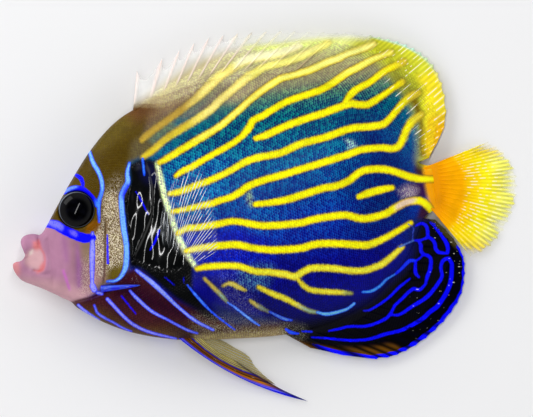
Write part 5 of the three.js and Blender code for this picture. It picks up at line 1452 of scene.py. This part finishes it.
def build_scales(name, surface, a, b, place, size, side, rng):
    """Scales over a surface of two parameters. Each is the small form above, laid along the surface's own
    tangents, found by small steps of a and b; its patch on the bake map sits at its root's place."""
    n = len(a)
    step = 1e-3
    centre = surface(a, b)
    forward = surface(a + step * size["a"], b) - centre
    rising = surface(a, b + step * size["b"]) - centre
    normal = np.cross(forward, rising)
    normal = unit(normal * np.sign(normal[:, 2:3] * side + 1e-12))
    forward = unit(forward)
    forward = unit(forward + rng.normal(0, 0.05, (n, 1)) * np.cross(normal, forward))
    long = size["length"][:, None] * rng.uniform(0.88, 1.12, (n, 1))
    across = np.cross(normal, forward)
    axes = long * forward, size["width"][:, None] * across, size["rise"][:, None] * normal
    points = centre[:, None] + sum(SCALE_FORM[:, i:i + 1] * axis[:, None] for i, axis in enumerate(axes))
    points = points.reshape(-1, 3)
    faces = (SCALE_FACES + np.arange(n)[:, None, None] * len(SCALE_FORM)).reshape(-1, 3)
    marks = marks_at(points[:, 0], points[:, 1], np.full(len(points), side > 0))
    marks["lift"] = np.clip(SCALE_LIFT + rng.uniform(-0.6, 0.36, (n, 1)), 0, 1).ravel()
    piece = new_piece(name, points, [faces], SCALES, marks)
    chart = piece.data.uv_layers.new(name="OFBake")
    spot = (place[:, None] + SCALE_FORM[:, :2] * CHART_PATCH).reshape(-1, 2)
    chart.data.foreach_set("uv", spot[faces.ravel()].astype(np.float32).ravel())


def trunk_lattice(rng):
    """Scale places over the trunk: rows at equal shares of each section's length round the flank, columns
    closer where the fish is lower, and every second column moved by half a row."""
    stations = np.linspace(*TRUNK_LONG)
    v = np.linspace(*TRUNK_HIGH)
    grid = body_face(*np.meshgrid(stations, v, indexing="ij"), 1)
    steps = np.linalg.norm(np.diff(grid, axis=1), axis=-1)
    length = np.column_stack([np.zeros(len(stations)), np.cumsum(steps, 1)])
    height = length[:, -1]
    pitch = TRUNK_PITCH * np.clip(height / height.max(), 0.42, 1) ** 0.7
    count = np.concatenate([[0], np.cumsum(np.diff(stations) / pitch[1:])])
    places = []
    for k, x in enumerate(np.interp(np.arange(int(count[-1])), count, stations)):
        i, s = divmod(np.interp(x, stations, np.arange(len(stations))), 1)
        arc = length[int(i)] * (1 - s) + length[min(int(i) + 1, len(stations) - 1)] * s
        shares = (np.arange(TRUNK_ROWS) + 0.5 * (k % 2) + 0.25) / TRUNK_ROWS
        row = np.full(TRUNK_ROWS, arc[-1] / TRUNK_ROWS)
        places.append([np.full(TRUNK_ROWS, x), np.interp(shares * arc[-1], arc, v), shares, row])
    x, v, share, row = np.concatenate(places, 1)
    return x + rng.normal(0, 0.05, len(x)), np.clip(v, *TRUNK_HIGH[:2]), share, row


def build_trunk_scales(side, name):
    """The flank's coat in a front and a rear piece: scales shrink to nothing on the snout, round the eye and
    on the lips, and lie flatter on the stripes."""
    rng = np.random.default_rng(TRUNK_SEEDS[side])
    x, v, share, row = trunk_lattice(rng)
    y = mix(BELLY(x), BACK(x), v)
    snout = ease((x - 12 - 0.25 * np.abs(y)) / 9)
    keep = (np.hypot(x - EYE_X, y - EYE_Y) > BARE_ROUND_EYE) & (snout > 0.05)
    keep &= ~((x < BARE_LIPS_X) & (y > BARE_LIPS_Y[0]) & (y < BARE_LIPS_Y[1]))
    keep &= look_up(MARKS_WET, x, y) < 0.5
    for part, here in (("front", keep & (x < COAT_SPLIT)), ("rear", keep & (x >= COAT_SPLIT))):
        a, b, place_b, high, bare = (values[here] for values in (x, v, share, row, snout))
        off_stripe = ease(0.5 + look_up(MARKS_YELLOW, a, y[here]) / 0.6)
        size = {"a": 1.0, "b": 0.01, "length": high * 1.1, "width": high * 1.08,
                "rise": TRUNK_RISE * high * mix(0.35, 1, bare) * mix(0.45, 1, off_stripe)}
        build_scales(f"{name}_{part}", lambda a, b: body_face(a, np.clip(b, 0.001, 0.999), side), a, b,
                     chart_place((a - CHART_START) / CHART_LONG, place_b), size, side, rng)


def fin_surface(base, edge, side):
    """A fin's face as a function of its share t from root to rim and its place u, without its rays."""
    def at(t, u):
        root, tip = base(u), edge(u)
        reach = np.hypot(*(tip - root).T)
        xy = root + (tip - root) * t[:, None]
        half = np.maximum(WEB + 0.06, sheathed(np.clip(t, 0, 1) * reach))
        return np.column_stack([xy, np.maximum(median(*xy.T) + side * half, 0.02)])

    return at


def build_fin_scales(name, base, edge, side, reach_out, seed, columns):
    """Scales that run out over a fin's base along its rays, flatter outwards."""
    rng = np.random.default_rng(seed)
    u, t = np.meshgrid(np.linspace(0.01, 0.985, columns), np.linspace(0.0, 1, FIN_ROWS), indexing="ij")
    t = t + (np.arange(columns) % 2)[:, None] * 0.5 / FIN_ROWS
    u, t = u.ravel(), t.ravel()
    keep = t < reach_out(u) * (1 + rng.normal(0, 0.06, len(u)))
    spot = mix(base(u), edge(u), t[:, None])
    keep &= look_up(MARKS_CLEAR, spot[:, 0], spot[:, 1]) < 0.25
    u, t = u[keep], t[keep]
    row = np.clip(np.hypot(*(edge(u) - base(u)).T) / FIN_ROWS * 2.0, 0.3, 0.75)
    size = {"a": 0.01, "b": 0.01, "length": row, "width": row * 0.95, "rise": FIN_RISE * row * (1.2 - t)}
    build_scales(name, fin_surface(base, edge, side), t, u, chart_place(t, u), size, side, rng)


# Light: a sky that is bright round the horizon and dim overhead, with the sines of the heights between
# which it fades; lamps as (name, place, aim, turn in degrees, size, watts) in metres. The strip overhead
# gives the wet streaks.
SKY_RING, SKY_TOP, SKY_BRIGHT, SKY_DIM = 0.5, 0.84, 1.15, 0.03
LAMPS = [
    ("key", (-0.6, 0.75, 0.5), (0, 0, 0.01), 0, (0.7, 0.5), 5.0),
    ("strip", (-0.026, 0.078, 0.78), (-0.026, 0.078, 0), -31, (0.03, 0.62), 2.2),
]
FLOOR_REACH = 1.2


def build_stage():
    """A plain pale floor, a soft sky and the lamps."""
    mesh = bpy.data.meshes.new("floor")
    corners = [(FLOOR_REACH * x, FLOOR_REACH * y, 0) for x, y in ((-1, -1), (1, -1), (1, 1), (-1, 1))]
    mesh.from_pydata(corners, [], [(0, 1, 2, 3)])
    floor = bpy.data.objects.new("floor", mesh)
    bpy.context.scene.collection.objects.link(floor)
    material = bpy.data.materials.new("pale_floor")
    material.use_nodes = True
    feed(material.node_tree, material.node_tree.nodes["Principled BSDF"], Base_Color=(0.86, 0.86, 0.87, 1),
         Roughness=0.6)
    floor.data.materials.append(material)
    world = bpy.data.worlds.new("sky")
    world.use_nodes = True
    sky = world.node_tree
    height = add(sky, "SeparateXYZ", Vector=add(sky, "TexCoord").outputs["Generated"]).outputs["Z"]
    fall = remap(sky, height, SKY_RING, SKY_TOP, SKY_BRIGHT, SKY_DIM, "SMOOTHSTEP")
    feed(sky, sky.nodes["Background"], Strength=fall, Color=(1, 1, 1, 1))
    bpy.context.scene.world = world
    for name, spot, aim, turn, size, power in LAMPS:
        lamp = bpy.data.lights.new(name, "AREA")
        lamp.shape = "RECTANGLE"
        lamp.size, lamp.size_y = size
        lamp.energy = power
        holder = bpy.data.objects.new(name, lamp)
        bpy.context.scene.collection.objects.link(holder)
        holder.location = spot
        holder.rotation_mode = "QUATERNION"
        aimed = Vector(np.subtract(aim, spot)).to_track_quat("-Z", "Y")
        holder.rotation_quaternion = aimed @ Quaternion((0, 0, 1), math.radians(turn))


# Camera: straight above, turned so that the fish's length lies as in the photograph; millimetres.
TURN = math.radians(7)
PICTURE_WIDTH = 130.0
PICTURE_CENTRE = (63.26, 5.8)
CAMERA_HEIGHT = 2500.0
FLANK_LEVEL = 11.0
SENSOR = 36


def build_camera():
    camera = bpy.data.cameras.new("camera")
    camera.sensor_width = SENSOR
    camera.lens = SENSOR * CAMERA_HEIGHT / PICTURE_WIDTH
    camera.clip_end = 10
    holder = bpy.data.objects.new("camera", camera)
    bpy.context.scene.collection.objects.link(holder)
    holder.location = to_frame([*PICTURE_CENTRE, CAMERA_HEIGHT + FLANK_LEVEL])
    holder.rotation_euler = (0, 0, -TURN)
    bpy.context.scene.camera = holder


build_camera()
build_stage()
build_skin()
build_dorsal()
build_anal()
build_caudal()
for word in ("left", "right"):
    build_pectoral(word)
    build_pelvic(word)
for side, word in ((1, "left"), (-1, "right")):
    build_eye(side, word)
    build_cheek_spine(side, word)
    build_trunk_scales(side, f"trunk_scales_{word}")
    build_fin_scales(f"dorsal_scales_{word}", DORSAL_BASE, DORSAL_EDGE, side,
                     lambda u: mix(0.3, 0.72, ease(u / 0.6)), DORSAL_SEED + side, 150)
    build_fin_scales(f"anal_scales_{word}", ANAL_BASE, ANAL_EDGE, side,
                     lambda u: mix(0.45, 0.7, ease(u / 0.5)), ANAL_SEED + side, 110)
bpy.context.scene.view_settings.view_transform = "Standard"
